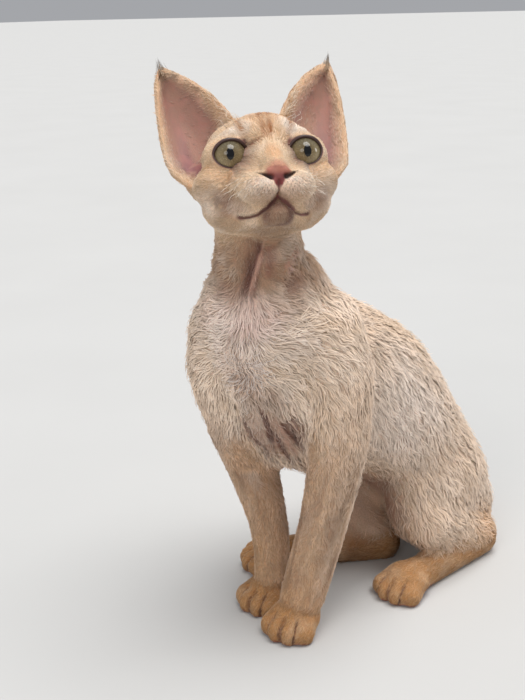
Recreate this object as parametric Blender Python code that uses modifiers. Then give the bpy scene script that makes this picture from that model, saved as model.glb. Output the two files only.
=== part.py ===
"""A devon rex kitten, sitting, at its real size.

The flesh is modelled whole, as masses and tapered limbs that a voxel remesh
joins and a smoothing rounds, and is then parted by thin cuts into head, neck,
trunk, tail, and the lengths of each leg. Eyes, nose leather and ears are
pieces of their own. The kitten faces -Y, its left side is at +X, and the floor
is at z = 0. The origin is under the middle of its box.
"""

import math

import bmesh
import bpy
from mathutils import Euler, Matrix, Vector

MM = 0.001
GAP = 0.3 * MM
SIDES = {"left": 1, "right": -1}


def at(x, y, z):
    """A point given in millimetres, in metres."""
    return Vector((x, y, z)) * MM


# The head: the point midway between the eyes, on the front of the eyeballs, and how the face is
# turned.
EYE_LINE = at(10.6, -75.1, 259.5)
HEAD_TURN = math.radians(46)
HEAD_LIFT = math.radians(26)
HEAD_ROLL = math.radians(0.3)
EYE_RADIUS = 8.8
EYE_SPREAD = 18.2
EYE_DEPTH = 8.0
EYE_OPENING = ((0.6, 7.4), (0.0, 6.5), (0.0, 6.3))

# Masses of the head, in millimetres, in the head's own axes: -Y out of the face, +Z up the crown.
# Each is (centre, half sizes). Those with x other than 0 are made on both sides.
HEAD_MASSES = {
    "cranium": ((0, 29, 4), (28, 30, 22.5)),
    "forehead": ((0, 10, 9), (19, 13.5, 13)),
    "brow": ((13, 7, 9.5), (9, 7.4, 4.8)),
    "orbit": ((18, 9.5, 0), (12.2, 10.8, 11.4)),
    "nose_side": ((7.5, 0, -6.5), (7.2, 7.4, 8.6)),
    "nose_tip": ((0, -12.6, -13.2), (6.2, 5.8, 5.2)),
    "cheekbone": ((20.5, 14, -11.5), (14.5, 15, 10.5)),
    "jowl": ((15.5, 17, -20), (15.5, 18.5, 12)),
    "maxilla": ((9.5, 0, -15), (11, 10.5, 9)),
    "whisker_pad": ((8.6, -9.2, -19.8), (9.6, 9.2, 6.8)),
    "chin": ((0, -5.2, -30.2), (8.8, 8.0, 5.8)),
    "throat": ((0, 20, -25), (18, 23, 12.5)),
    "occiput": ((0, 44, -4), (22, 18, 20)),
    "ear_root": ((26.5, 31, -3), (9.5, 9, 10)),
}
NOSE_BRIDGE = (((0, 5, 5), 7.8), ((0, -3, -3), 6.8), ((0, -11.4, -11.5), 6.0))
JAW = (((4, -1, -28), 7), ((11, 9, -27), 9), ((18, 22, -22), 10))

# Ear edges from the base to the tip, in the head's axes: the inner edge rises from the crown, the
# outer from the cheek.
EAR_INNER = (
    (8, 19, 17), (14.5, 20, 29), (21.5, 25, 40), (28.5, 28.5, 47.5), (35.5, 31.5, 53), (41.5, 33, 56),
)
EAR_OUTER = (
    (28, 20, -13), (40, 21, -5), (44.5, 24, 5), (45.6, 27.5, 19), (45.8, 30, 33), (45.2, 32, 46),
    (43.4, 33.2, 55.5),
)
NOSE_LEATHER = ((0, -16, -15.6), (6.9, 5, 4.6))
EAR_HOLLOW = 15.0
EAR_THICKNESS = 1.8

# The trunk: (centre, half width, half depth, turn in degrees) from the neck's root to the rump.
# The spine bends: the chest is turned to the left, the way the kitten looks, the hips to the right.
TRUNK = (
    (at(-12, -54, 198), 29, 27, 20),
    (at(-10, -50, 180), 36, 33, 18),
    (at(-7, -43, 158), 38, 39, 16),
    (at(-6, -28, 136), 38, 49, 6),
    (at(0, -4, 121), 38, 51, -6),
    (at(8, 24, 105), 39, 47, -16),
    (at(16, 47, 79), 40, 39, -22),
    (at(24, 66, 52), 39, 36, -24),
    (at(31, 79, 31), 35, 33, -24),
)
RUMP = (at(32, 78, 27.5), (33, 27, 28.6))
NECK = (
    (at(-10, -51, 180), 29), (at(-10, -55, 198), 25.5), (at(-9, -57, 213), 21.8),
    (at(-9, -58, 234), 21.8),
)

# Legs: places down the limb with its radius there, in millimetres. A thigh and a paw are
# (centre, half sizes, tilt, turn) and (centre, turn).
UPPER_ARM = {
    "left": ((at(22, -42, 172), 17), (at(30, -44, 146), 18.5), (at(31, -46, 120), 17)),
    "right": ((at(-32, -60, 168), 17), (at(-36, -59, 142), 18.5), (at(-33, -52, 114), 15.5)),
}
FOREARM = {
    "left": (
        (at(31, -47, 117), 16.8), (at(29, -48, 92), 14.6), (at(24, -50, 66), 13.4),
        (at(18, -52, 40), 13), (at(14, -57, 20), 12.8),
    ),
    "right": (
        (at(-32, -52, 110), 15.5), (at(-26, -47, 88), 14.6), (at(-20.5, -44, 66), 12.6),
        (at(-14.5, -44, 42), 10.6), (at(-13, -46, 20), 10.6),
    ),
}
FOREPAW = {"left": (at(11.6, -61.4, 8.2), 4), "right": (at(-15.5, -46.5, 8.2), -8)}
THIGH = {
    "left": (at(42, 45, 50), (20, 38, 35), 22, -18),
    "right": (at(-3, 50, 50), (18, 38, 32), 22, -18),
}
SHANK = {
    "left": ((at(46, 28, 36), 16), (at(54, 50, 27), 14), (at(61, 74, 12), 10)),
    "right": ((at(-14, 22, 36), 15), (at(2, 30, 24), 13), (at(14, 37, 12), 10)),
}
HIND_FOOT = {
    "left": ((at(61, 74, 9), 10), (at(53, 38, 8.8), 9.6), (at(46, 8, 8.6), 9.8)),
    "right": ((at(14, 37, 9), 10), (at(-14, 12, 8.8), 9.6), (at(-38, -9, 8.6), 9.6)),
}
HIND_TOES = {"left": (at(44.5, 5, 8), -10), "right": (at(-38.5, -10.5, 8), -48)}
TAIL = (
    (at(40, 92, 30), 14), (at(40, 117, 12.5), 9.5), (at(20, 137, 7.2), 8.2), (at(-12, 136, 6.4), 7.4),
    (at(-35, 116, 5.8), 6.8), (at(-44, 90, 5.2), 6.2), (at(-43, 64, 4.6), 5.6), (at(-37, 44, 3.8), 4.8),
)
TAIL_LENGTHS = {"tail_tip": slice(5, None), "tail_middle": slice(3, 6), "tail_root": slice(1, 4)}
PAW_SIZE = (13.6, 13.5, 9.6)
TOE_RADIUS = 5.9
TOE_FAN = (-10, -3.8, 3.8, 10)
TOE_REACH = (8.5, 12.5, 12.5, 8.5)

# Where the flesh is parted, as (a point on the cut, the way that points up through it). The head's
# cut is in the head's own axes. A limb is parted by a tube or a ball that stands off its core.
HEAD_CUT = (at(0, -5, -42), Vector((0, -0.29, 0.96)))
NECK_CUT = (at(-10, -52, 193), Vector((0.08, -0.12, 1.0)))
CUT_STANDOFF = 2.4
CUT_GAP = 0.5
LIMB_OVERRUN = 30
PAW_CUT = (at(0, -2.5, -7), (17.5, 21, 21))

# How the flesh is remeshed and rounded, and how many triangles its parts keep before they are cut.
BODY_VOXEL = 1.8 * MM
HEAD_VOXEL = 1.0 * MM
WHOLE_VOXEL = 1.2 * MM
HEAD_TRIANGLES = 1340
BODY_TRIANGLES = 7000
PART_TRIANGLES = {
    "neck": 150, "tail_root": 100, "tail_middle": 76, "tail_tip": 76, "trunk": 900, "forepaw": 340,
    "forearm": 210, "upper_arm": 210, "hind_paw": 320, "hind_foot": 170, "thigh": 260,
}

COLOURS = {
    "coat": (0.66, 0.46, 0.33), "pale_coat": (0.74, 0.60, 0.50), "paw_coat": (0.60, 0.33, 0.17),
    "ear_skin": (0.52, 0.30, 0.27), "eye": (0.20, 0.17, 0.06), "nose": (0.40, 0.14, 0.11),
}
SHARP_ANGLE = math.radians(50)
ROUGHNESS = {
    "coat": 0.9, "pale_coat": 0.9, "paw_coat": 0.85, "ear_skin": 0.6, "eye": 0.05, "nose": 0.45,
}


def clear_scene():
    """Removes what the startup file holds."""
    for obj in list(bpy.data.objects):
        bpy.data.objects.remove(obj)


def named_collection(name):
    """A collection of this name in the scene."""
    collection = bpy.data.collections.new(name)
    bpy.context.scene.collection.children.link(collection)
    return collection


def head_matrix():
    """Places the head's own axes in the world."""
    turned = Matrix.Rotation(HEAD_TURN, 4, "Z") @ Matrix.Rotation(-HEAD_LIFT, 4, "X")
    return Matrix.Translation(EYE_LINE) @ turned @ Matrix.Rotation(HEAD_ROLL, 4, "Y")


def add_mesh_object(name, mesh):
    """A new object of this mesh in the scene."""
    obj = bpy.data.objects.new(name, mesh)
    bpy.context.scene.collection.objects.link(obj)
    return obj


def ellipsoid(name, centre, half_sizes, frame=None, sides=32):
    """A sphere stretched to half_sizes, in metres."""
    bm = bmesh.new()
    bmesh.ops.create_uvsphere(bm, u_segments=sides, v_segments=sides * 5 // 8, radius=1.0)
    shape = Matrix.Diagonal((*half_sizes, 1.0))
    bm.transform(Matrix.Translation(centre) @ shape)
    if frame is not None:
        bm.transform(frame)
    mesh = bpy.data.meshes.new(name)
    bm.to_mesh(mesh)
    bm.free()
    return add_mesh_object(name, mesh)


def tube(name, stations, frame=None, fineness=6):
    """A tapered round limb through (point, radius in millimetres) stations, closed at both ends."""
    data = bpy.data.curves.new(name, "CURVE")
    data.dimensions = "3D"
    data.bevel_depth = 1.0
    data.bevel_resolution = fineness
    data.use_fill_caps = True
    spline = data.splines.new("NURBS")
    points = [stations[0], *stations, stations[-1]]
    spline.points.add(len(points) - 1)
    for point, (place, radius) in zip(spline.points, points):
        point.co = (*place, 1.0)
        point.radius = radius * MM
    spline.order_u = 3
    spline.use_endpoint_u = True
    data.resolution_u = fineness + 2
    curve = add_mesh_object(name, data)
    if frame is not None:
        curve.matrix_world = frame
    return as_mesh(curve)


def limb(name, stations, frame=None):
    """A tube with a ball at each end, as one group of objects."""
    ends = [stations[0], stations[-1]]
    balls = [ellipsoid(name, place, [radius * MM] * 3, frame) for place, radius in ends]
    return [tube(name, stations, frame), *balls]


def loft(name, stations, sides=32, steps=6):
    """A closed form of elliptical sections through (centre, half width, half depth, turn) stations."""
    path = smooth_path([station[0] for station in stations], steps)
    sizes = smooth_path([Vector(station[1:]) for station in stations], steps)
    bm = bmesh.new()
    rings = []
    for i, (centre, size) in enumerate(zip(path, sizes)):
        along = (path[min(i + 1, len(path) - 1)] - path[max(i - 1, 0)]).normalized()
        width = Vector((math.cos(math.radians(size.z)), math.sin(math.radians(size.z)), 0))
        across = (width - along * along.dot(width)).normalized() * size.x * MM
        out = along.cross(across).normalized() * size.y * MM
        angles = [2 * math.pi * k / sides for k in range(sides)]
        rings.append([
            bm.verts.new(centre + across * math.cos(a) + out * math.sin(a))
            for a in angles
        ])
    for low, high in zip(rings, rings[1:]):
        for k in range(sides):
            bm.faces.new((low[k], low[(k + 1) % sides], high[(k + 1) % sides], high[k]))
    bm.faces.new(rings[0])
    bm.faces.new(rings[-1])
    bmesh.ops.recalc_face_normals(bm, faces=bm.faces)
    mesh = bpy.data.meshes.new(name)
    bm.to_mesh(mesh)
    bm.free()
    return add_mesh_object(name, mesh)


def smooth_path(points, steps):
    """The points with a Catmull-Rom curve filled in between them."""
    padded = [points[0] * 2 - points[1], *points, points[-1] * 2 - points[-2]]
    path = []
    for a, b, c, d in zip(padded, padded[1:], padded[2:], padded[3:]):
        for k in range(steps):
            t = k / steps
            path.append(0.5 * (2 * b + (c - a) * t + (2 * a - 5 * b + 4 * c - d) * t * t
                               + (3 * b - a - 3 * c + d) * t ** 3))
    return [*path, points[-1]]


def as_mesh(obj):
    """The object as its modifiers leave it, as a plain mesh object with its place in its mesh."""
    bpy.context.view_layer.update()
    evaluated = obj.evaluated_get(bpy.context.evaluated_depsgraph_get())
    mesh = bpy.data.meshes.new_from_object(evaluated)
    mesh.transform(obj.matrix_world)
    name = obj.name
    bpy.data.objects.remove(obj)
    bm = bmesh.new()
    bm.from_mesh(mesh)
    bmesh.ops.remove_doubles(bm, verts=bm.verts, dist=1e-6)
    bm.to_mesh(mesh)
    bm.free()
    made = add_mesh_object(name, mesh)
    made.name = name
    return made


def fused(name, pieces, voxel, rounding):
    """The pieces remeshed into one closed form and smoothed."""
    bm = bmesh.new()
    for piece in pieces:
        bm.from_mesh(piece.data)
        bpy.data.objects.remove(piece)
    mesh = bpy.data.meshes.new(name)
    bm.to_mesh(mesh)
    bm.free()
    obj = add_mesh_object(name, mesh)
    remesh = obj.modifiers.new("Remesh", "REMESH")
    remesh.mode = "VOXEL"
    remesh.voxel_size = voxel
    smooth = obj.modifiers.new("Round", "SMOOTH")
    smooth.factor = 0.5
    smooth.iterations = rounding
    return as_mesh(obj)


def both_sides(place):
    """The place, and its mirror image if it is off the middle."""
    x, y, z = place
    return [(x, y, z)] if x == 0 else [(x, y, z), (-x, y, z)]


def make_head_mass(frame):
    """Skull, muzzle, cheeks and jaw as one rounded form."""
    pieces = []
    for name, (centre, sizes) in HEAD_MASSES.items():
        for place in both_sides(centre):
            pieces.append(ellipsoid(name, at(*place), [s * MM for s in sizes], frame))
    pieces += limb("bridge", [(at(*p), r) for p, r in NOSE_BRIDGE], frame)
    for side in SIDES.values():
        pieces += limb("jaw", [(at(side * p[0], p[1], p[2]), r) for p, r in JAW], frame)
    return fused("head_mass", pieces, HEAD_VOXEL, 7)


def make_body_mass():
    """Trunk, neck, tail and the upper legs as one rounded form."""
    pieces = [loft("trunk_mass", TRUNK)]
    pieces += limb("neck_mass", NECK)
    pieces.append(ellipsoid("rump_mass", RUMP[0], [size * MM for size in RUMP[1]]))
    pieces += limb("tail_mass", TAIL)
    for side in SIDES:
        pieces += limb("upper_arm", UPPER_ARM[side])
        pieces += limb("forearm", FOREARM[side])
        sizes = [size * MM for size in THIGH[side][1]]
        pieces.append(ellipsoid("thigh_mass", at(0, 0, 0), sizes, thigh_frame(side)))
        pieces += limb("shank_mass", SHANK[side])
        pieces += limb("foot_mass", HIND_FOOT[side])
    return fused("body_mass", pieces, BODY_VOXEL, 10)


def paw(name, centre, turn):
    """A paw with four toes: centre of the pad, and how far the toes turn outwards in degrees."""
    frame = paw_frame((centre, turn))
    pieces = [ellipsoid(name, at(0, 1, 0), at(*PAW_SIZE), frame)]
    for spread, reach in zip(TOE_FAN, TOE_REACH):
        tip = at(spread, -reach, -3)
        root = at(spread * 0.7, -reach + 12, 1)
        pieces += limb(name, [(root, TOE_RADIUS), (tip, TOE_RADIUS)], frame)
    return pieces


def decimated(obj, triangles):
    """The object with about this many triangles left."""
    modifier = obj.modifiers.new("Thin out", "DECIMATE")
    modifier.ratio = min(1.0, triangles / sum(len(face.vertices) - 2 for face in obj.data.polygons))
    modifier.use_collapse_triangulate = True
    return as_mesh(obj)


def copied(obj, name):
    """A second object with its own copy of the mesh."""
    return add_mesh_object(name, obj.data.copy())


def halved(obj, point, normal):
    """The side of the object that lies against the normal, closed with a flat face at the cut."""
    bm = bmesh.new()
    bm.from_mesh(obj.data)
    everything = [*bm.verts, *bm.edges, *bm.faces]
    cut = bmesh.ops.bisect_plane(
        bm, geom=everything, dist=1e-7, plane_co=point, plane_no=normal, clear_outer=True)
    rim = [item for item in cut["geom_cut"] if isinstance(item, bmesh.types.BMEdge)]
    bmesh.ops.holes_fill(bm, edges=rim, sides=0)
    bm.to_mesh(obj.data)
    bm.free()
    return obj


def boolean(obj, cutter, operation):
    """The object cut by, or kept within, the cutter."""
    modifier = obj.modifiers.new(operation, "BOOLEAN")
    modifier.solver = "EXACT"
    modifier.operation = operation
    modifier.object = cutter
    made = as_mesh(obj)
    bpy.data.objects.remove(cutter)
    return made


def parted(rest, name, region):
    """Parts off what lies in the region, called with how far it grows, and gives both pieces."""
    piece = boolean(copied(rest, name), region(0.0), "INTERSECT")
    rest_name = rest.name
    left = boolean(rest, region(CUT_GAP), "DIFFERENCE")
    left.name = rest_name
    return piece, left


def limb_region(stations, standoff, lead=0.0):
    """A function that gives a tube round a limb, standing off it so far, to part it with."""
    def grown(extra):
        places = [place for place, _ in stations]
        start = places[0] + (places[0] - places[1]).normalized() * (lead + extra) * MM
        end = places[-1] + (places[-1] - places[-2]).normalized() * LIMB_OVERRUN * MM
        radii = [radius + standoff + extra for _, radius in stations]
        return tube("cutter", list(zip([start, *places[1:-1], end], radii)), None, 1)
    return grown


def ball_region(centre, half_sizes, frame, sides=14):
    """A function that gives an ellipsoid to part a rounded piece with."""
    def grown(extra):
        return ellipsoid("cutter", centre, [(size + extra) * MM for size in half_sizes], frame, sides)
    return grown


def dish(name, inner, outer, hollow, side, frame):
    """One ear: a shell between an inner and an outer edge, hollow at the front, drawn to a tip."""
    across, along = 6, 9
    inner = smooth_path([at(side * x, y, z) for x, y, z in inner], 4)
    outer = smooth_path([at(side * x, y, z) for x, y, z in outer], 4)
    bm = bmesh.new()
    rows = []
    for k in range(along + 1):
        height = k / along
        start, end = sample(inner, height), sample(outer, height)
        row = []
        for j in range(across + 1):
            t = j / across
            arch = max(0.0, math.sin(math.pi * t))
            bulge = hollow * (1 - height) ** 0.7 * arch ** 0.8 + 1.2 * arch
            row.append(bm.verts.new(start.lerp(end, t) + at(0, bulge, 0)))
        rows.append(row)
    for low, high in zip(rows, rows[1:]):
        for j in range(across):
            bm.faces.new((low[j], low[j + 1], high[j + 1], high[j]))
    bmesh.ops.recalc_face_normals(bm, faces=bm.faces)
    bm.transform(frame)
    mesh = bpy.data.meshes.new(name)
    bm.to_mesh(mesh)
    bm.free()
    obj = add_mesh_object(name, mesh)
    shell = obj.modifiers.new("Wall", "SOLIDIFY")
    shell.thickness = EAR_THICKNESS * MM
    shell.offset = 0
    return as_mesh(obj)


def sample(path, fraction):
    """The point this far along a path, from 0 to 1."""
    place = fraction * (len(path) - 1)
    low = min(int(place), len(path) - 2)
    return path[low].lerp(path[low + 1], place - low)


def swollen(obj, distance):
    """A copy of the object with its skin moved outwards."""
    copy = copied(obj, "cutter")
    grow = copy.modifiers.new("Grow", "DISPLACE")
    grow.strength = distance
    grow.mid_level = 0.0
    return as_mesh(copy)


def finish(obj, name, colour, shift, collection):
    """Names a piece, colours and shades it, and moves it to its place over the origin."""
    obj.data.transform(Matrix.Translation(shift))
    obj.data.shade_smooth()
    obj.data.set_sharp_from_angle(angle=SHARP_ANGLE)
    bpy.context.scene.collection.objects.unlink(obj)
    collection.objects.link(obj)
    obj.name = name
    obj.data.name = name
    material = bpy.data.materials.new(name)
    material.use_nodes = True
    shader = material.node_tree.nodes["Principled BSDF"]
    shader.inputs["Base Color"].default_value = (*COLOURS[colour], 1)
    shader.inputs["Roughness"].default_value = ROUGHNESS[colour]
    obj.data.materials.clear()
    obj.data.materials.append(material)


def make_flesh(frame):
    """The whole kitten without its ears and eyes, as one finely meshed form."""
    pieces = [make_head_mass(frame), make_body_mass()]
    for side in SIDES:
        pieces += paw("forepaw", *FOREPAW[side])
        pieces += paw("hind_toes", *HIND_TOES[side])
    return fused("flesh", pieces, WHOLE_VOXEL, 3)


def make_head(flesh, frame):
    """Head, eyes, nose leather and ears."""
    point, normal = frame @ HEAD_CUT[0], (frame.to_3x3() @ HEAD_CUT[1]).normalized()
    head = halved(copied(flesh, "head"), point - normal * 6 * MM, -normal)
    head = decimated(head, HEAD_TRIANGLES)
    head = halved(head, point + normal * GAP / 2, -normal)
    parts = {}
    for side, sign in SIDES.items():
        centre = at(sign * EYE_SPREAD, EYE_DEPTH, 0)
        eyeball = ball_region(centre, [EYE_RADIUS] * 3, frame, 16)
        head = boolean(head, eyeball(GAP / MM), "DIFFERENCE")
        (aside, width), (_, depth), (_, height) = EYE_OPENING
        opening = at(sign * (EYE_SPREAD + aside), EYE_DEPTH - EYE_RADIUS, 0)
        cutter = ellipsoid("cutter", opening, at(width, depth, height), frame, 14)
        head = boolean(head, cutter, "DIFFERENCE")
        parts["eye_" + side] = (eyeball(0.0), "eye")
    nose, head = parted(head, "nose", ball_region(at(*NOSE_LEATHER[0]), NOSE_LEATHER[1], frame))
    for side, sign in SIDES.items():
        ear = dish("ear", EAR_INNER, EAR_OUTER, EAR_HOLLOW, sign, frame)
        parts["ear_" + side] = (boolean(ear, swollen(head, GAP), "DIFFERENCE"), "ear_skin")
    return {"head": (head, "coat"), "nose_leather": (nose, "nose"), **parts}


def make_body(flesh, frame):
    """Neck, trunk, tail and the lengths of the legs."""
    point, normal = frame @ HEAD_CUT[0], (frame.to_3x3() @ HEAD_CUT[1]).normalized()
    body = halved(copied(flesh, "body"), point + normal * 6 * MM, normal)
    body = decimated(body, BODY_TRIANGLES)
    body = halved(body, point - normal * GAP / 2, normal)
    point, normal = NECK_CUT[0], NECK_CUT[1].normalized()
    neck = halved(copied(body, "neck"), point + normal * GAP / 2, -normal)
    body = halved(body, point - normal * GAP / 2, normal)
    parts = {"neck": (thinned(neck), "pale_coat")}
    for name, span in TAIL_LENGTHS.items():
        tail, body = parted(body, name, limb_region(TAIL[span], CUT_STANDOFF))
        parts[name] = (thinned(tail), "coat")
    for side in SIDES:
        regions = {
            "forepaw": ball_region(PAW_CUT[0], PAW_CUT[1], paw_frame(FOREPAW[side])),
            "forearm": limb_region(FOREARM[side], CUT_STANDOFF),
            "upper_arm": limb_region(UPPER_ARM[side], CUT_STANDOFF),
            "hind_paw": ball_region(PAW_CUT[0], PAW_CUT[1], paw_frame(HIND_TOES[side])),
            "hind_foot": limb_region(HIND_FOOT[side], CUT_STANDOFF, HIND_FOOT[side][0][1]),
            "thigh": ball_region(at(0, 0, 0), [size + 3 for size in THIGH[side][1]], thigh_frame(side)),
        }
        for name, region in regions.items():
            piece, body = parted(body, name, region)
            colour = "paw_coat" if "paw" in name or "foot" in name else "coat"
            parts[side + "_" + name] = (thinned(piece), colour)
    body.name = "trunk"
    parts["trunk"] = (thinned(body), "pale_coat")
    return parts


def thinned(piece):
    """The main body of a piece, with as many triangles as its kind is given."""
    piece = main_body(piece)
    return decimated(piece, PART_TRIANGLES[piece.name.split(".")[0]])


def main_body(obj):
    """The object's largest body, without the crumbs that a cut has left."""
    bm = bmesh.new()
    bm.from_mesh(obj.data)
    bodies, unseen = [], set(bm.verts)
    while unseen:
        body, edge = set(), {unseen.pop()}
        while edge:
            body |= edge
            edge = {link.other_vert(vert) for vert in edge for link in vert.link_edges} - body
        unseen -= body
        bodies.append(body)
    largest = max(bodies, key=len)
    bmesh.ops.delete(bm, geom=[vert for vert in bm.verts if vert not in largest], context="VERTS")
    bm.to_mesh(obj.data)
    bm.free()
    return obj


def box_of(obj):
    """The lowest and highest corner of an object."""
    places = [vertex.co for vertex in obj.data.vertices]
    return [[pick(place[axis] for place in places) for axis in range(3)] for pick in (min, max)]


def meet(one, other):
    """Whether two objects' boxes overlap."""
    (low, high), (other_low, other_high) = box_of(one), box_of(other)
    return all(low[axis] < other_high[axis] and other_low[axis] < high[axis] for axis in range(3))


def clear_overlaps(parts):
    """Takes out of each piece what thinning has pushed into it of the pieces before it."""
    names = list(parts)
    for later in range(len(names)):
        obj, colour = parts[names[later]]
        for earlier in names[:later]:
            if meet(obj, parts[earlier][0]):
                obj = boolean(obj, swollen(parts[earlier][0], GAP / 2), "DIFFERENCE")
        parts[names[later]] = (main_body(obj), colour)


def paw_frame(placed):
    """Places a paw: its middle and turn."""
    return Matrix.Translation(placed[0]) @ Matrix.Rotation(math.radians(placed[1]), 4, "Z")


def thigh_frame(side):
    """Places a thigh: its middle, tilt and turn."""
    centre, _, tilt, turn = THIGH[side]
    turned = Matrix.Rotation(math.radians(turn), 4, "Z") @ Matrix.Rotation(math.radians(tilt), 4, "X")
    return Matrix.Translation(centre) @ turned


def main():
    """Builds the whole kitten."""
    clear_scene()
    frame = head_matrix()
    flesh = make_flesh(frame)
    parts = {**make_head(flesh, frame), **make_body(flesh, frame)}
    bpy.data.objects.remove(flesh)
    clear_overlaps(parts)
    for obj, _ in parts.values():
        halved(obj, at(0, 0, 0), Vector((0, 0, -1)))
    corners = [vertex.co for obj, _ in parts.values() for vertex in obj.data.vertices]
    low, high = ([pick(co[axis] for co in corners) for axis in range(3)] for pick in (min, max))
    shift = Vector((-(low[0] + high[0]) / 2, -(low[1] + high[1]) / 2, -low[2]))
    kitten = named_collection("devon_rex_kitten")
    for name, (obj, colour) in parts.items():
        finish(obj, name, colour, shift, kitten)


main()
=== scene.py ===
"""A devon rex kitten, sitting with its head raised: skin, coat, eyes and whiskers over the solids."""
import logging
import math
from dataclasses import dataclass, field
from enum import Enum

import bmesh
import bpy
import numpy as np
from mathutils import Matrix, Vector
from mathutils.bvhtree import BVHTree


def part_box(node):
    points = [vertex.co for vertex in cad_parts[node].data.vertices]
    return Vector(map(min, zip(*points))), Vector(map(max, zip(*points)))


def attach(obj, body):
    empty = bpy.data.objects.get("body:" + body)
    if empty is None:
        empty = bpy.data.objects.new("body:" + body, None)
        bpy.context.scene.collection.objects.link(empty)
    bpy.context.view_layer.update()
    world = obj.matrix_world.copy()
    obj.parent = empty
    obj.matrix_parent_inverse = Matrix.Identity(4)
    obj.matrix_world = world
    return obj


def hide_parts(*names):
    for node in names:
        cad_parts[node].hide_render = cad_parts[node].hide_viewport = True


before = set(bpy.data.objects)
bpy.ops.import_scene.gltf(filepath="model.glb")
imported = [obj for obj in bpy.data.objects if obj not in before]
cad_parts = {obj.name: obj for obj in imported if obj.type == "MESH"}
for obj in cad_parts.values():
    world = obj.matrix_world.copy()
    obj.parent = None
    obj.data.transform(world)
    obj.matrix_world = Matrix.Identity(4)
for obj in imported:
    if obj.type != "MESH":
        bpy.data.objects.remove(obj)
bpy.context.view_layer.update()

log = logging.getLogger("kitten")

MM = 0.001
SIDES = {"left": 1, "right": -1}

# The head's own axes stand in the solids' millimetres: x to the cat's left, -y out of the face and
# z up the crown. They start midway between the fronts of the eyeballs.
HEAD_START = (10.6, -75.1, 259.5)
HEAD_TURN = 46.0
HEAD_LIFT = 26.0
HEAD_ROLL = 0.3
EYE_RADIUS = 8.8
EYE_DEPTH = 8.0

# The middle of the whorl on the chest, in the body's millimetres.
WHORL = (-3.2, -80.0, 151.4)

SEED = 7


def srgb(red: int, green: int, blue: int) -> tuple[float, float, float]:
    """A colour as a painter reads it off, from 0 to 255, in linear light."""
    return tuple((c / 12.92 if c <= 0.04045 else ((c + 0.055) / 1.055) ** 2.4)
                 for c in (red / 255, green / 255, blue / 255))


def step(low: float, high: float, value: np.ndarray) -> np.ndarray:
    """Rises smoothly from 0 at low to 1 at high."""
    part = np.clip((value - low) / (high - low), 0.0, 1.0)
    return part * part * (3.0 - 2.0 * part)


def unit(vectors: np.ndarray) -> np.ndarray:
    """The vectors at a length of one."""
    return vectors / np.maximum(np.linalg.norm(vectors, axis=-1, keepdims=True), 1e-12)


def bell(distance: np.ndarray, width: np.ndarray | float, power: int = 2) -> np.ndarray:
    """Falls from 1 on a line or place to next to nothing at twice its width."""
    return np.exp(-(distance / width) ** power)


def oval(points: np.ndarray, centre: tuple, half: tuple) -> np.ndarray:
    """How far points are from a centre, where 1 is on an oval of this half size."""
    return np.linalg.norm((points - np.array(centre)) / np.array(half), axis=1)


def mirrored(places: tuple, side: int) -> np.ndarray:
    """Places on the left of the head, or for the side -1 their mirror image."""
    return np.array(places, float) * np.array((side, 1.0, 1.0))


def noise(points: np.ndarray, scale: float, seed: int = 0) -> np.ndarray:
    """Smooth random values from 0 to 1 in space.

    Args:
        points: Places, one a row.
        scale: How far apart the values lie, in the points' unit.
        seed: Which set of values to take.

    Returns:
        One value for each place.
    """
    table = np.random.default_rng(1000 + seed).random(4096)
    place = points / scale + 31.7 * (seed + 1)
    cell = np.floor(place).astype(np.int64)
    part = place - cell
    part = part * part * (3.0 - 2.0 * part)
    total = np.zeros(len(points))
    for corner in np.ndindex(2, 2, 2):
        spot = cell + np.array(corner)
        mixed = (spot[:, 0] * 73856093) ^ (spot[:, 1] * 19349663) ^ (spot[:, 2] * 83492791)
        share = np.prod(np.where(np.array(corner) == 1, part, 1.0 - part), axis=1)
        total += share * table[mixed & 4095]
    return total


def near_path(points: np.ndarray, path: np.ndarray, normals: np.ndarray | None = None
              ) -> tuple[np.ndarray, np.ndarray]:
    """How far points are from a path.

    Args:
        points: Places, one a row.
        path: The path's corners, one a row.
        normals: If given, up to 6 of the way along them isn't counted, so that the path can lie a
            little over or under the skin.

    Returns:
        Each point's distance, and how far along the path its nearest place is, from 0 to 1.
    """
    best = np.full(len(points), np.inf)
    along = np.zeros(len(points))
    for k, (start, end) in enumerate(zip(path[:-1], path[1:])):
        span = end - start
        part = np.clip((points - start) @ span / (span @ span), 0.0, 1.0)
        offset = points - start - part[:, None] * span
        if normals is not None:
            offset -= np.clip(np.sum(offset * normals, axis=1), -6.0, 6.0)[:, None] * normals
        distance = np.linalg.norm(offset, axis=1)
        closer = distance < best
        best[closer] = distance[closer]
        along[closer] = (k + part[closer]) / (len(path) - 1)
    return best, along


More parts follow.
